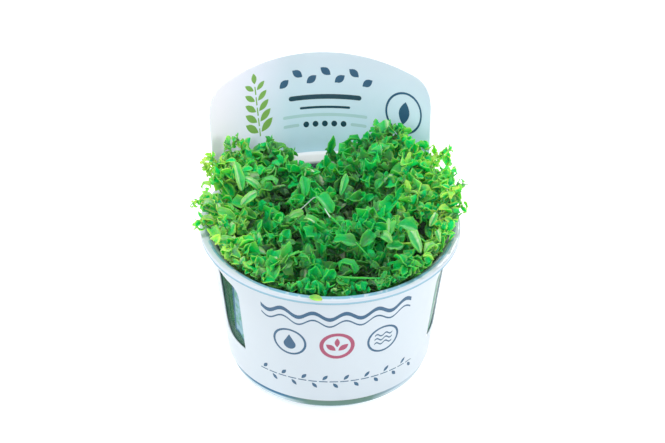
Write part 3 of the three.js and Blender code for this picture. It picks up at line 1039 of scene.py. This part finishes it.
# A leaf blade, one unit long from the base at the origin along +Y, with its face up
def leafBlade(width, curl, fold=0.05, hollow=0.1, twist=0, blunt=1, point=0.6, notch=0, wave=0, phase=0):
    bm = bmesh.new()
    bm.loops.layers.uv.new("UVMap")
    bmesh.ops.create_grid(bm, x_segments=leafVariety["columns"], y_segments=leafVariety["rows"],
                          size=0.5, calc_uvs=True)
    curl = math.radians(curl) or 0.01
    for vert in bm.verts:
        across = vert.co.x * 2
        along = 0.5 - 0.5 * math.cos(math.pi * (vert.co.y + 0.5))
        half = width / 2 * (math.sin(math.pi * along ** blunt) ** point + 0.06)
        half *= 1 + notch * math.sin(13 * along + phase + 2 * across)
        lift = half * (fold * abs(across) + hollow * across * across)
        ripple = math.sin(leafVariety["ripples"] * along + phase + 1.5 * across)
        lift += half * wave * across * across * ripple
        place = Vector((across * half, 0, lift))
        place.rotate(Quaternion((0, 1, 0), math.radians(twist) * along))
        bend = curl * along
        place.rotate(Quaternion((1, 0, 0), -bend))
        vert.co = place + Vector((0, math.sin(bend), math.cos(bend) - 1)) / curl
    bmesh.ops.recalc_face_normals(bm, faces=bm.faces[:])
    bmesh.ops.solidify(bm, geom=bm.faces[:], thickness=leafVariety["wall"])
    bmesh.ops.recalc_face_normals(bm, faces=bm.faces[:])
    return tintedMesh(bm, "leaf blade")


def leafBlades():
    draw = random.Random(leafVariety["seed"])
    return [leafBlade(**{trait: draw.uniform(*ends) for trait, ends in leafTraits.items()})
            for _ in range(leafVariety["kinds"])]


blades = leafBlades()


# A stem one unit long and one unit in radius, from the origin along +Z
def stalkBlank(sides, steps):
    bm = bmesh.new()
    bm.loops.layers.uv.new("UVMap")
    bmesh.ops.create_circle(bm, cap_ends=True, segments=sides, radius=1)
    bmesh.ops.reverse_faces(bm, faces=bm.faces[:])
    for step in range(steps):
        bm.faces.ensure_lookup_table()
        top = max(bm.faces, key=lambda face: face.calc_center_median().z)
        extruded = bmesh.ops.extrude_face_region(bm, geom=[top])
        verts = [item for item in extruded["geom"] if isinstance(item, bmesh.types.BMVert)]
        bmesh.ops.translate(bm, vec=(0, 0, 1 / steps), verts=verts)
        if step > 0:
            bmesh.ops.delete(bm, geom=[top], context="FACES_ONLY")
    bmesh.ops.recalc_face_normals(bm, faces=bm.faces[:])
    return tintedMesh(bm, "stalk")


stalk = stalkBlank(6, 8)


def addCopy(bm, blank, tint):
    blank.attributes["tint"].data.foreach_set("color", list(tint) * len(blank.vertices))
    bm.from_mesh(blank)
    bpy.data.meshes.remove(blank)


# A leaf is left out where it would touch the wall, the rim or the tab
def addLeaf(bm, draw, matrix, tint, beyond=0.0):
    blade = draw.choice(blades).copy()
    blade.transform(matrix)
    if all(hasRoom(vertex.co, beyond) for vertex in blade.vertices.values()[::3]):
        addCopy(bm, blade, tint)
    else:
        bpy.data.meshes.remove(blade)


def pathPoint(path, share):
    start, control, end = path
    point = start * (1 - share) ** 2 + control * (2 * share * (1 - share)) + end * share * share
    direction = (control - start) * (1 - share) + (end - control) * share
    return point, direction.normalized()


def pathTurn(direction):
    return direction.to_track_quat("Z", "Y")


def addStalk(bm, path, radius, taper, tint):
    blank = stalk.copy()
    for vertex in blank.vertices:
        share = vertex.co.z
        point, direction = pathPoint(path, share)
        wide = radius * (1 - taper * share)
        across = pathTurn(direction) @ Vector((vertex.co.x * wide, vertex.co.y * wide, 0))
        vertex.co = point + across
    addCopy(bm, blank, tint)


# Places a leaf with its base at a point, turned about the direction and lifted from it
def leafMatrix(point, direction, around, lift, size):
    facing = pathTurn(direction).to_matrix().to_4x4()
    turned = Matrix.Translation(point) @ facing @ Matrix.Rotation(around, 4, "Z")
    return turned @ Matrix.Rotation(lift, 4, "X") @ Matrix.Scale(size, 4)


shoots = {
    "seed": 100,
    "perPlantlet": 8,
    "crownRadius": 7.4,
    "spiral": 2.4,            # radians from one shoot to the next round the crown
    "spiralSpread": 0.4,
    "tipHeight": (-1.5, 2.0), # middle and spread, over the canopy
    "depth": 15,              # how far below its tip a shoot starts
    "footShare": 0.3,         # how far out it starts, on the way from the plantlet's middle to the tip
    "footGap": 3,             # between its foot and the cup's wall
    "bend": (0.35, 0.35, 0.62),    # where it bends, as shares of x, y and z from foot to tip
    "sway": 2,
    "stemRadius": 0.42,
    "stemTaper": 0.35,
    "stemTint": (0.4, 0.85, 0, 1),
    "nodeStep": 2.9,
    "nodeTurn": (60, 100),    # degrees from one node to the next
    "leafyShare": 0.92,       # upper part of the stem that bears leaves
    "leafCounts": (2, 3, 3),
    "topLeafCounts": (3, 4),
    "leafLength": 6.9,
    "sizes": (0.5, 1.45, 0.8),    # least, greatest and most usual share of that length
    "leafRise": (8, 42),      # degrees from square to the stem, low on it and at the tip
    "leafSpread": (18, 22),   # degrees of chance, round the stem and up and down
    "topSize": 0.85,          # leaves are this much of their size at the tip
    "sideSize": 0.80,         # and at the two sides
    "sideX": (28, 46),
    "bareGap": (6, 13),       # a node bears no leaves where a gap is deeper than a number in this range
}
tinting = {
    "sideX": (20, 46),
    "height": (-7, 1),        # over the canopy
    "frontY": (5, 40),
    "gapDepth": (1.5, 8),
    "gapClears": 0.6,         # how much less painted shade a gap puts on the leaves high over it
    # ages; the first two, in the gaps and low under the canopy, stand for painted shade
    "gapShadeAge": 0.02,
    "low": 0.17,
    "lowShadeShare": 0.50,
    "olive": 0.22,
    "green": 0.40,
    "greenSide": 0.12,
    "fresh": 0.74,
    "freshGain": 0.5,
    "ageSpread": 0.04,
    # a leaf is fresh or olive where its noise passes these
    "freshOver": 0.34,
    "oliveUnder": -0.06,
    # the two noises: waves to the millimetre, and spread from leaf to leaf
    "oliveNoise": (0.13, 0.08),
    "freshNoise": (0.16, 0.09),
    "freshHeight": 0.6,
    "freshPlace": Vector((40, 0, 0)),
    # what adds to the fresh noise or takes away
    "freshSide": 0.24,
    "freshTip": 0.06,
    "freshFront": 0.05,
    # brightness, with the painted light high up and at the sides and the painted shade at the front
    "bright": 1.14,
    "brightSpread": 0.10,
    "paintedTopLight": 0.10,
    "paintedFrontShade": 0.20,
    "paintedSideLight": 0.32,
    "gapShadeDark": 0.46,
    # chance of a painted sheen, what the left side adds, and how strong it is
    "pale": 0.04,
    "paintedSheenLeft": 0.12,
    "paintedSheenStrength": 0.8,
}


# Age, brightness and painted sheen of a leaf: fresh at the tips and at the two sides.
# Painted shade takes the leaves in the gaps and low under the canopy to the dark end of the ages
# and darkens them; painted light brightens them high up and at the two sides, and painted shade
# darkens them at the front.
# Neighbouring leaves are alike.
def leafTint(point, tipShare, draw):
    rule = tinting
    side = smoothStep(abs(point.x), *rule["sideX"])
    height = smoothStep(point.z - canopyHeight(point.x, point.y), *rule["height"])
    front = smoothStep(-point.y, *rule["frontY"])
    waves, spread = rule["oliveNoise"]
    olive = noise.noise(point * waves) + draw.gauss(0, spread)
    waves, spread = rule["freshNoise"]
    fresh = rule["freshHeight"] * noise.noise(point * waves + rule["freshPlace"]) + draw.gauss(0, spread)
    fresh += rule["freshSide"] * side + rule["freshTip"] * tipShare - rule["freshFront"] * front
    if fresh > rule["freshOver"]:
        ageAndShade = rule["fresh"] + rule["freshGain"] * (fresh - rule["freshOver"])
    elif olive < rule["oliveUnder"]:
        ageAndShade = rule["olive"]
    else:
        ageAndShade = rule["green"] + rule["greenSide"] * side
    # Leaves low under the canopy are painted in shade, drawn towards the dark end of the ages
    ageAndShade = blendOf(ageAndShade, rule["low"], rule["lowShadeShare"] * (1 - height)) + draw.gauss(0, rule["ageSpread"])
    # Painted light brightens leaves high up and at the two sides; painted shade darkens them at the front
    bright = rule["bright"] + rule["paintedTopLight"] * height - rule["paintedFrontShade"] * front
    bright += rule["paintedSideLight"] * side + draw.uniform(-rule["brightSpread"], rule["brightSpread"])
    # Painted shade in the gaps: the leaves there go to the dark end of the ages and are darkened
    depth = gapDepth(point.x, point.y, growth["hollows"])
    shade = smoothStep(depth, *rule["gapDepth"]) * (1 - rule["gapClears"] * height)
    ageAndShade = blendOf(ageAndShade, rule["gapShadeAge"], shade)
    bright *= 1 - rule["gapShadeDark"] * shade
    # A few leaves get a painted sheen, more of them at the left
    pale = draw.random() < rule["pale"] + rule["paintedSheenLeft"] * side * (point.x < 0)
    return min(max(ageAndShade, 0), 1), bright, rule["paintedSheenStrength"] * pale, 1


def addShoot(bm, tip, foot, draw):
    control = Vector([blendOf(low, high, share) for low, high, share in zip(foot, tip, shoots["bend"])])
    control += Vector((draw.gauss(0, shoots["sway"]), draw.gauss(0, shoots["sway"]), 0))
    path = (foot, control, tip)
    addStalk(bm, path, shoots["stemRadius"], shoots["stemTaper"], shoots["stemTint"])
    nodes = max(3, int((tip - foot).length / shoots["nodeStep"]))
    turn = draw.uniform(0, 360)
    spreadAround, spreadUp = shoots["leafSpread"]
    for node in range(1, nodes + 1):
        share = 1 - (nodes - node) / nodes * shoots["leafyShare"]
        tipShare = smoothStep(share, 0.55, 1)
        point, direction = pathPoint(path, share)
        turn += draw.uniform(*shoots["nodeTurn"])
        leaves = draw.choice(shoots["leafCounts"] if node < nodes else shoots["topLeafCounts"])
        if gapDepth(point.x, point.y, growth["hollows"]) > draw.uniform(*shoots["bareGap"]):
            continue
        for leaf in range(leaves):
            around = math.radians(turn + 360 * leaf / leaves + draw.gauss(0, spreadAround))
            lift = math.radians(blendOf(*shoots["leafRise"], tipShare) + draw.gauss(0, spreadUp))
            size = shoots["leafLength"] * blendOf(1.0, shoots["topSize"], tipShare)
            size *= draw.triangular(*shoots["sizes"])
            size *= blendOf(1, shoots["sideSize"], smoothStep(abs(point.x), *shoots["sideX"]))
            matrix = leafMatrix(point, direction, around, lift, size)
            addLeaf(bm, draw, matrix, leafTint(matrix @ Vector((0, 0.7, 0)), tipShare, draw))


# Shoots that lie across the others or reach out at the sides: start, bend and tip, stem
# radius, length of the leaves, and where the first leaf sits along the stem
looseShoots = [
    (((-4.5, -1, 69.5), (2.5, -15, 69), (14.5, -33, 62)), 0.42, 5.0, 0.9),
    (((-1, -39, 63.5), (6, -44, 66), (14.5, -42, 64)), 0.42, 4.0, 0.95),
    (((-12, -22, 63.5), (-17, -28, 68.5), (-24, -33, 64)), 0.4, 5.5, 0.5),
    (((-28.5, 5.5, 71), (-33, 2, 70.5), (-35.5, -4, 66)), 0.4, 4.0, 0.8),
    (((-40, 16, 65), (-44, 18, 72), (-47, 18, 79)), 0.26, 2.5, 0.5),
    (((-33, 26, 68), (-35, 28, 75), (-36.5, 30, 78.5)), 0.36, 3.8, 0.3),
    (((-30, 29, 70), (-31, 31, 76), (-33, 32.5, 80)), 0.36, 3.6, 0.3),
    (((-41, 14, 68), (-43, 22, 72), (-43.5, 24, 77)), 0.28, 3.0, 0.4),
    (((-41, 0, 66), (-47, -2, 69), (-52.5, -4, 63.5)), 0.3, 3.6, 0.4),
    (((-42, 9, 67), (-48, 8, 71), (-53, 6, 68)), 0.26, 3.0, 0.4),
    (((39, 18, 69), (44, 20, 75), (48.5, 20, 78)), 0.28, 2.7, 0.5),
    (((42, 8, 65), (48, 8, 70), (54.5, 8, 69)), 0.3, 4.2, 0.45),
    (((41, -4, 64), (46, -4, 69), (51.5, -5, 67)), 0.28, 3.4, 0.4),
    (((2.5, 35, 60), (3, 38, 64), (4, 40, 67)), 0.36, 2.6, 0.9),
    (((25, 35, 68), (26.5, 36, 73), (22.5, 36.5, 77.5)), 0.36, 3.2, 0.8),
    (((25.5, 35, 71), (26.5, 36, 74), (28, 36, 78)), 0.32, 3.0, 0.85),
    (((32, 35, 68), (33, 36, 76), (28, 36.5, 79)), 0.36, 3.6, 0.8),
    (((34, -2, 58), (35, -4, 64), (35, -6, 69.5)), 0.36, 4.6, 0.35),
    (((37, 2, 58), (38, 0, 64), (38.5, -1, 70)), 0.36, 4.4, 0.4),
]

# Leaves that stand out: base, tip, width, curl in degrees, age, brightness and painted sheen
standoutLeaves = [
    ((-33, 8, 72), (-35, 17, 79.5), 3.0, 60, 0.62, 1.1, 0.8),
    ((-32, 11, 75.5), (-27, 10, 71.5), 2.8, 140, 0.60, 1.1, 0.9),
    ((-34, 1, 70), (-28, 6, 72), 3.2, 95, 0.60, 1.15, 1.0),
    ((-37, 4, 70), (-32, 3, 69.5), 4.2, 80, 0.56, 1.0, 0.2),
    ((-43, -1, 69.5), (-37, -4, 68), 3.4, 90, 0.70, 1.0, 0.3),
    ((-46, -6, 65), (-43, -14, 66), 3.6, 60, 0.75, 1.0, 0.2),
    ((7.5, -21.5, 65.5), (-1, -19.5, 66), 4.6, 60, 0.28, 1.0, 0.1),
    ((9, -23, 65), (14, -16.5, 66.5), 4.4, 60, 0.26, 1.0, 0.0),
    ((0, -5, 68.5), (-4.5, 3, 71), 4.8, 80, 0.46, 1.0, 0.25),
    ((-16, -5, 67.5), (-11, -3.5, 68.5), 3.0, 110, 0.75, 1.0, 0.6),
    ((-6.5, -10, 68), (-10.5, -7.5, 68.5), 2.6, 130, 0.70, 1.0, 0.8),
    ((-9, 6, 69), (-9.5, 13, 73.5), 4.2, 50, 0.46, 1.0, 0.15),
    ((4.5, 6, 68.5), (7.5, 14, 73), 2.8, 50, 0.58, 1.05, 0.5),
    ((28, -19.5, 67.5), (30.5, -30, 65.5), 4.0, 80, 0.52, 1.05, 0.9),
    ((31, -17, 67), (24, -14, 67.5), 5.0, 90, 0.44, 1.0, 0.3),
    ((36, -16, 67.5), (38.5, -12, 70.5), 2.6, 110, 0.56, 1.1, 1.0),
    ((38, -19, 67), (38.5, -24.5, 66), 2.2, 90, 0.56, 1.1, 0.8),
    ((25, -24.5, 65.5), (18, -24.5, 65), 4.4, -90, 0.56, 1.0, 0.3),
    ((18, -19, 66), (20.5, -23.5, 66.5), 3.6, 120, 0.70, 1.0, 0.6),
    ((20, -19, 66), (21, -12, 68), 3.6, 100, 0.66, 1.0, 0.5),
    ((4, 40, 66), (5.5, 40, 74.5), 3.0, 25, 0.58, 0.9, 0.0),
]

# Leaves rolled into a ring, given in the same way
ringLeaves = [
    ((0.5, -34, 62.5), (4.5, -36, 62.5), 3.4, 240, 0.42, 0.9, 0.1),
    ((16, 38, 70), (11.5, 38, 70), 3.2, 215, 0.50, 0.85, 0.0),
    ((-48, 8, 74), (-45.5, 8, 74), 1.8, 230, 0.85, 1.0, 0.2),
    ((-48, 4, 71.5), (-45.5, 4, 71.5), 2.0, 240, 0.80, 1.0, 0.2),
    ((-48.5, -3, 64.5), (-45, -3, 65), 2.4, 230, 0.85, 1.0, 0.4),
    ((32.5, -30, 64.5), (36, -27.5, 64.5), 2.6, 225, 0.75, 1.0, 0.5),
    ((-12, -30, 63), (-15.5, -28.5, 63.5), 2.6, 220, 0.42, 0.9, 0.2),
    ((-24, 12, 70.5), (-20, 12, 71), 3.0, 215, 0.50, 1.0, 0.3),
]

# What lies on top keeps the shoots under it low
clearing = {
    "depth": 4.5,
    "leafSpread": 3,
    "stemSpread": 2.5,
    "stems": 4,                       # of the loose shoots, from the first
    "stemShares": (0.2, 0.4, 0.6, 0.8),
    "backRight": (27, 33, 4.5, 8),    # x, y, depth and spread
}


def clearedPlaces():
    cleared = [clearing["backRight"]]
    for base, tip, *_ in standoutLeaves + ringLeaves:
        x, y = (base[0] + tip[0]) / 2, (base[1] + tip[1]) / 2
        cleared.append((x, y, clearing["depth"], clearing["leafSpread"]))
    for path, *_ in looseShoots[:clearing["stems"]]:
        for share in clearing["stemShares"]:
            point, _ = pathPoint([Vector(place) for place in path], share)
            cleared.append((point.x, point.y, clearing["depth"], clearing["stemSpread"]))
    return cleared


clearings = clearedPlaces()


looseGrowth = {
    "taper": 0.25,
    "stemTint": (0.5, 0.95, 0, 1),
    "step": 0.55,             # from one whorl to the next, in leaf lengths
    "leaves": 3,
    "leafSpread": 0.3,        # radians
    "winding": 9,             # radians that the whorls turn from foot to tip
    "rise": (5, 50),
    "sizes": (0.6, 1.15),
    "tipShare": 0.9,
    "beyond": 3.5,            # how much further out they may reach than the others
}


def addLooseShoot(bm, path, radius, leafLength, first, draw):
    rule = looseGrowth
    addStalk(bm, path, radius, rule["taper"], rule["stemTint"])
    steps = max(1, round((1 - first) * (path[2] - path[0]).length / (rule["step"] * leafLength)))
    for step in range(steps + 1):
        share = blendOf(first, 1, step / steps)
        point, direction = pathPoint(path, share)
        for leaf in range(rule["leaves"]):
            spread = draw.uniform(-rule["leafSpread"], rule["leafSpread"])
            around = fullTurn * leaf / rule["leaves"] + spread + share * rule["winding"]
            lift = math.radians(draw.uniform(*rule["rise"]))
            size = leafLength * draw.uniform(*rule["sizes"])
            matrix = leafMatrix(point, direction, around, lift, size)
            addLeaf(bm, draw, matrix, leafTint(point, rule["tipShare"], draw), rule["beyond"])


# A single leaf from its base to its tip, with its face towards the given side
def addSingleLeaf(bm, face, base, tip, width, curl, ageAndShade, bright, pale):
    bend = math.radians(curl)
    reach = abs(2 * math.sin(bend / 2) / bend)
    span = Vector(tip) - Vector(base)
    length = span.length / reach
    along = span.normalized()
    side = along.cross(Vector(face)).normalized()
    facing = Matrix((side, along, side.cross(along))).transposed().to_4x4()
    blade = leafBlade(width / length, curl, fold=0.5, hollow=0.3, twist=30, point=0.65, notch=0.04,
                      wave=0.5, phase=curl)
    turn = Matrix.Rotation(bend / 2, 4, "X")
    blade.transform(Matrix.Translation(base) @ facing @ turn @ Matrix.Scale(length, 4))
    addCopy(bm, blade, (ageAndShade, bright, pale, 1))


# Leaves that close the gap between the shoots and the front of the rim
rimLeaves = {
    "count": 260,
    "reach": 125,             # degrees each side of the front
    "radius": (41.0, 44.2),
    "height": (58.4, 60.4),
    "turn": 0.6,              # radians to each side of straight inwards
    "rise": (20, 60),
    "length": (2.6, 4.8),
    # painted light: the rim leaves are brightened against the shade under the rim
    "bright": 1.35,
}


def nearestPlace(point):
    return min(plantletAt, key=lambda place: (place - Vector(point).xy).length)


def addRimLeaves(bm, place, draw):
    for leaf in range(rimLeaves["count"]):
        share = leaf / (rimLeaves["count"] - 1)
        angle = math.radians(blendOf(-rimLeaves["reach"], rimLeaves["reach"], share))
        point = onCylinder(draw.uniform(*rimLeaves["radius"]), angle, draw.uniform(*rimLeaves["height"]))
        if nearestPlace(point) != place:
            continue
        turn = angle + math.pi + draw.uniform(-rimLeaves["turn"], rimLeaves["turn"])
        tilt = Matrix.Rotation(math.radians(draw.uniform(*rimLeaves["rise"])), 4, "X")
        size = Matrix.Scale(draw.uniform(*rimLeaves["length"]), 4)
        matrix = Matrix.Translation(point) @ Matrix.Rotation(turn, 4, "Z") @ tilt @ size
        ageAndShade, bright, pale, opaque = leafTint(point, 0.5, draw)
        # Painted light lifts the rim leaves out of the rim's shade
        addLeaf(bm, draw, matrix, (ageAndShade, bright * rimLeaves["bright"], pale, opaque))


# The tips of a plantlet's shoots spread round its crown; where there is no room they stay nearer
def shootEnds(index, place, shoot, draw):
    crown = place + crownShift(place)
    reach = shoots["crownRadius"] * math.sqrt((shoot + 0.4) / shoots["perPlantlet"])
    turn = shoot * shoots["spiral"] + index + draw.uniform(-shoots["spiralSpread"], shoots["spiralSpread"])
    x = crown.x + reach * math.cos(turn)
    y = crown.y + reach * math.sin(turn)
    tip = Vector((x, y, canopyHeight(x, y) + draw.gauss(*shoots["tipHeight"])))
    tip.z -= gapDepth(x, y, growth["hollows"] + clearings)
    if not hasRoom(tip):
        tip.xy = (crown + place) / 2
    share = shoots["footShare"]
    foot = Vector((blendOf(place.x, x, share), blendOf(place.y, y, share), tip.z - shoots["depth"]))
    inner = innerRadius(foot.z) - shoots["footGap"]
    if foot.xy.length > inner:
        foot.xy = foot.xy * (inner / foot.xy.length)
    return tip, foot


def buildPlantlet(index, place):
    draw = random.Random(shoots["seed"] + index)
    bm = bmesh.new()
    for shoot in range(shoots["perPlantlet"]):
        addShoot(bm, *shootEnds(index, place, shoot, draw), draw)
    for path, *shape in looseShoots:
        if nearestPlace(path[0]) == place:
            addLooseShoot(bm, [Vector(point) for point in path], *shape, draw)
    for leaves, face in ((standoutLeaves, (0, -0.6, 0.8)), (ringLeaves, (0, 0.1, 1))):
        for leaf in leaves:
            if nearestPlace(leaf[0]) == place:
                addSingleLeaf(bm, face, *leaf)
    addRimLeaves(bm, place, draw)
    name = "plantlet_%02d" % (index + 1)
    return finishPiece(name + "_shoots", meshFrom(bm), [leafGreen], (name,), 80)


plantletAt = plantletPlaces()
for index, place in enumerate(plantletAt):
    buildPlantlet(index, place)
print("stage: plantlets")

# Undergrowth: a core coloured partly as the tangle and partly as painted shade, with bare stems and
# small leaves between it and the wall
undergrowth = {
    "seed": 7,
    "coreHeights": (15.35, 20, 25, 30, 35, 40, 45),    # up the side
    "coreRings": (0.92, 0.82, 0.7, 0.58, 0.46, 0.34, 0.22, 0.1),    # shares of the radius, over the top
    "coreDrop": 3.5,            # the core's top under the tangle's
    "coreInset": 3.0,           # the core's side inside the wall
    "topWider": (0.06, 45),     # share wider, at this radius
    "topRough": 2.5,
    "sideRough": 0.03,
    "lumps": 0.22,              # to the millimetre
    "sides": 60,
    "windowSpread": 15,         # degrees each side of a window's middle
    "stems": 60,                # behind each window
    "stemRadius": (0.3, 0.5),
    "stemTaper": 0.2,
    "stemLean": 14,             # degrees round the cup at most
    "stemLow": (15.6, 26),
    "stemHigh": (38, 52),
    "stemInset": (1.3, 2.6),
    "stemAge": (0.0, 0.25),
    "stemBright": (0.5, 0.9),
    "leaves": 130,
    "leafLength": (3, 5.5),
    "leafHeight": (17, 55),
    "leafInset": (0.8, 2.2),
    "leafAge": (0.0, 0.35),
    "leafBright": (0.4, 1.0),
    # the bare stems that lie on the core
    "topStems": 160,
    "topStart": 42,             # from the axis at most
    "topEnd": 43,
    "topLength": (6, 14),
    "topSunk": 3,               # how deep the first end is in the tangle
    "topRise": (-1, 4),         # the other end over it
    "topBend": (1, 4),
    "topTaper": 0.3,
    "topAge": (0.1, 0.4),
    "topBright": 0.7,
}


def undergrowthCore():
    heights = undergrowth["coreHeights"]
    side = [(innerRadius(z) - undergrowth["coreInset"], z) for z in heights]
    edge, top = side[-1]
    lid = top + 0.001           # just over the side, so that the two are told apart
    over = [(share * edge, lid) for share in undergrowth["coreRings"]]
    bm = spinProfile([(0, heights[0])] + side + over + [(0, lid)], undergrowth["sides"])
    bm.loops.layers.uv.new("UVMap")
    wider, widerAt = undergrowth["topWider"]
    for vert in bm.verts:
        rough = noise.noise(vert.co * undergrowth["lumps"])
        if vert.co.z > (top + lid) / 2:
            vert.co.xy = vert.co.xy * (1 + wider * vert.co.xy.length / widerAt)
            height = tangleHeight(vert.co.x, vert.co.y) - undergrowth["coreDrop"]
            vert.co.z = height + undergrowth["topRough"] * rough
        elif vert.co.z > heights[0] + 0.1:
            vert.co.xy = vert.co.xy * (1 - undergrowth["sideRough"] * (1 + rough))
    return tintedMesh(bm, "core")


# A leaf that lies almost flat against the wall
pressedBlade = leafBlade(0.55, 12, fold=0.06, blunt=1.1, point=0.7, wave=0.1)


# An angle behind a window
def windowAngle(middle, draw):
    spread = undergrowth["windowSpread"]
    return math.radians(middle + draw.uniform(-spread, spread))


def addWindowStem(bm, middle, draw):
    angle = windowAngle(middle, draw)
    lean = math.radians(draw.uniform(-undergrowth["stemLean"], undergrowth["stemLean"]))
    low, high = draw.uniform(*undergrowth["stemLow"]), draw.uniform(*undergrowth["stemHigh"])
    inset = draw.uniform(*undergrowth["stemInset"])
    path = [onCylinder(innerRadius(z) - inset, angle + lean * share, z)
            for share, z in ((0, low), (0.5, (low + high) / 2), (1, high))]
    radius = draw.uniform(*undergrowth["stemRadius"])
    tint = (draw.uniform(*undergrowth["stemAge"]), draw.uniform(*undergrowth["stemBright"]), 0, 1)
    addStalk(bm, path, radius, undergrowth["stemTaper"], tint)


def addWindowLeaf(bm, middle, draw):
    angle = windowAngle(middle, draw)
    z = draw.uniform(*undergrowth["leafHeight"])
    point = onCylinder(innerRadius(z) - draw.uniform(*undergrowth["leafInset"]), angle, z)
    outward = Vector((point.x, point.y, 0))
    around = draw.uniform(0, fullTurn)
    pressed = pressedBlade.copy()
    pressed.transform(leafMatrix(point, outward, around, 0, draw.uniform(*undergrowth["leafLength"])))
    tint = (draw.uniform(*undergrowth["leafAge"]), draw.uniform(*undergrowth["leafBright"]), 0, 1)
    addCopy(bm, pressed, tint)


# A bare stem that lies on the core
def addTopStem(bm, draw):
    radius = undergrowth["topStart"] * math.sqrt(draw.random())
    angle = draw.uniform(0, fullTurn)
    start = levelStep(radius, angle)
    end = start + levelStep(1, draw.uniform(0, fullTurn)) * draw.uniform(*undergrowth["topLength"])
    if end.length > undergrowth["topEnd"]:
        end = end * (undergrowth["topEnd"] / end.length)
    start.z = tangleHeight(start.x, start.y) - undergrowth["topSunk"]
    end.z = tangleHeight(end.x, end.y) + draw.uniform(*undergrowth["topRise"])
    bend = (start + end) / 2 + Vector((0, 0, draw.uniform(*undergrowth["topBend"])))
    if hasRoom(start) and hasRoom(end) and hasRoom(bend):
        thick = draw.uniform(*undergrowth["stemRadius"])
        tint = (draw.uniform(*undergrowth["topAge"]), undergrowth["topBright"], 0, 1)
        addStalk(bm, (start, bend, end), thick, undergrowth["topTaper"], tint)


def buildUndergrowth():
    draw = random.Random(undergrowth["seed"])
    core = undergrowthCore()
    coreFaces = len(core.polygons)
    bm = bmesh.new()
    bm.from_mesh(core)
    bpy.data.meshes.remove(core)
    for middle in sleeve["windowAngles"]:
        for _ in range(undergrowth["stems"]):
            addWindowStem(bm, middle, draw)
        for _ in range(undergrowth["leaves"]):
            addWindowLeaf(bm, middle, draw)
    for _ in range(undergrowth["topStems"]):
        addTopStem(bm, draw)
    mesh = meshFrom(bm)
    for polygon in mesh.polygons[coreFaces:]:
        polygon.material_index = 1
    return finishPiece("undergrowth", mesh, [coreWithShade, leafGreen], ("stem_tangle",), 60)


buildUndergrowth()
print("stage: undergrowth")

# One pale root that lies on the leaves and runs into the long loose stem
fineRoot = {
    "radius": 0.2,
    "path": [(-15.5, -2.5, 66.5), (-10.5, -1, 68.5), (-7, 2.5, 70.5), (-4.5, 2, 72), (-3.4, -3.5, 71.2),
             (-1.2, -9.5, 69.6)],
}


def buildFineRoot():
    curve = bpy.data.curves.new("fine root", "CURVE")
    curve.dimensions = "3D"
    curve.bevel_depth = fineRoot["radius"]
    curve.bevel_resolution = 1
    curve.use_fill_caps = True
    curve.resolution_u = 8
    spline = addSpline(curve, "NURBS", fineRoot["path"])
    spline.use_endpoint_u = True
    spline.order_u = 4
    return finishPiece("fine_root", curveMesh("fine root", curve), [rootPale])


buildFineRoot()

# The loose leaf on the front of the rim
looseLeaf = {
    "x": -10.7,
    "y": -47.9,
    "lift": 0.25,
    "turn": -0.35,
    "length": 4.9,
    "width": 3.3,
    "curl": 10,
    "tint": (0.92, 1.05, 0, 1),
}


def buildLooseLeaf():
    bm = bmesh.new()
    blade = leafBlade(looseLeaf["width"] / looseLeaf["length"], looseLeaf["curl"])
    blade.transform(Matrix.Translation((0, -0.5, 0)))
    place = Matrix.Translation((looseLeaf["x"], looseLeaf["y"], cup["height"] + looseLeaf["lift"]))
    turn = Matrix.Rotation(looseLeaf["turn"] - math.pi / 2, 4, "Z")
    blade.transform(place @ turn @ Matrix.Scale(looseLeaf["length"], 4))
    addCopy(bm, blade, looseLeaf["tint"])
    return finishPiece("rim_leaf_blade", meshFrom(bm), [leafGreen], ("rim_leaf",), 60)


buildLooseLeaf()
print("stage: root and loose leaf")
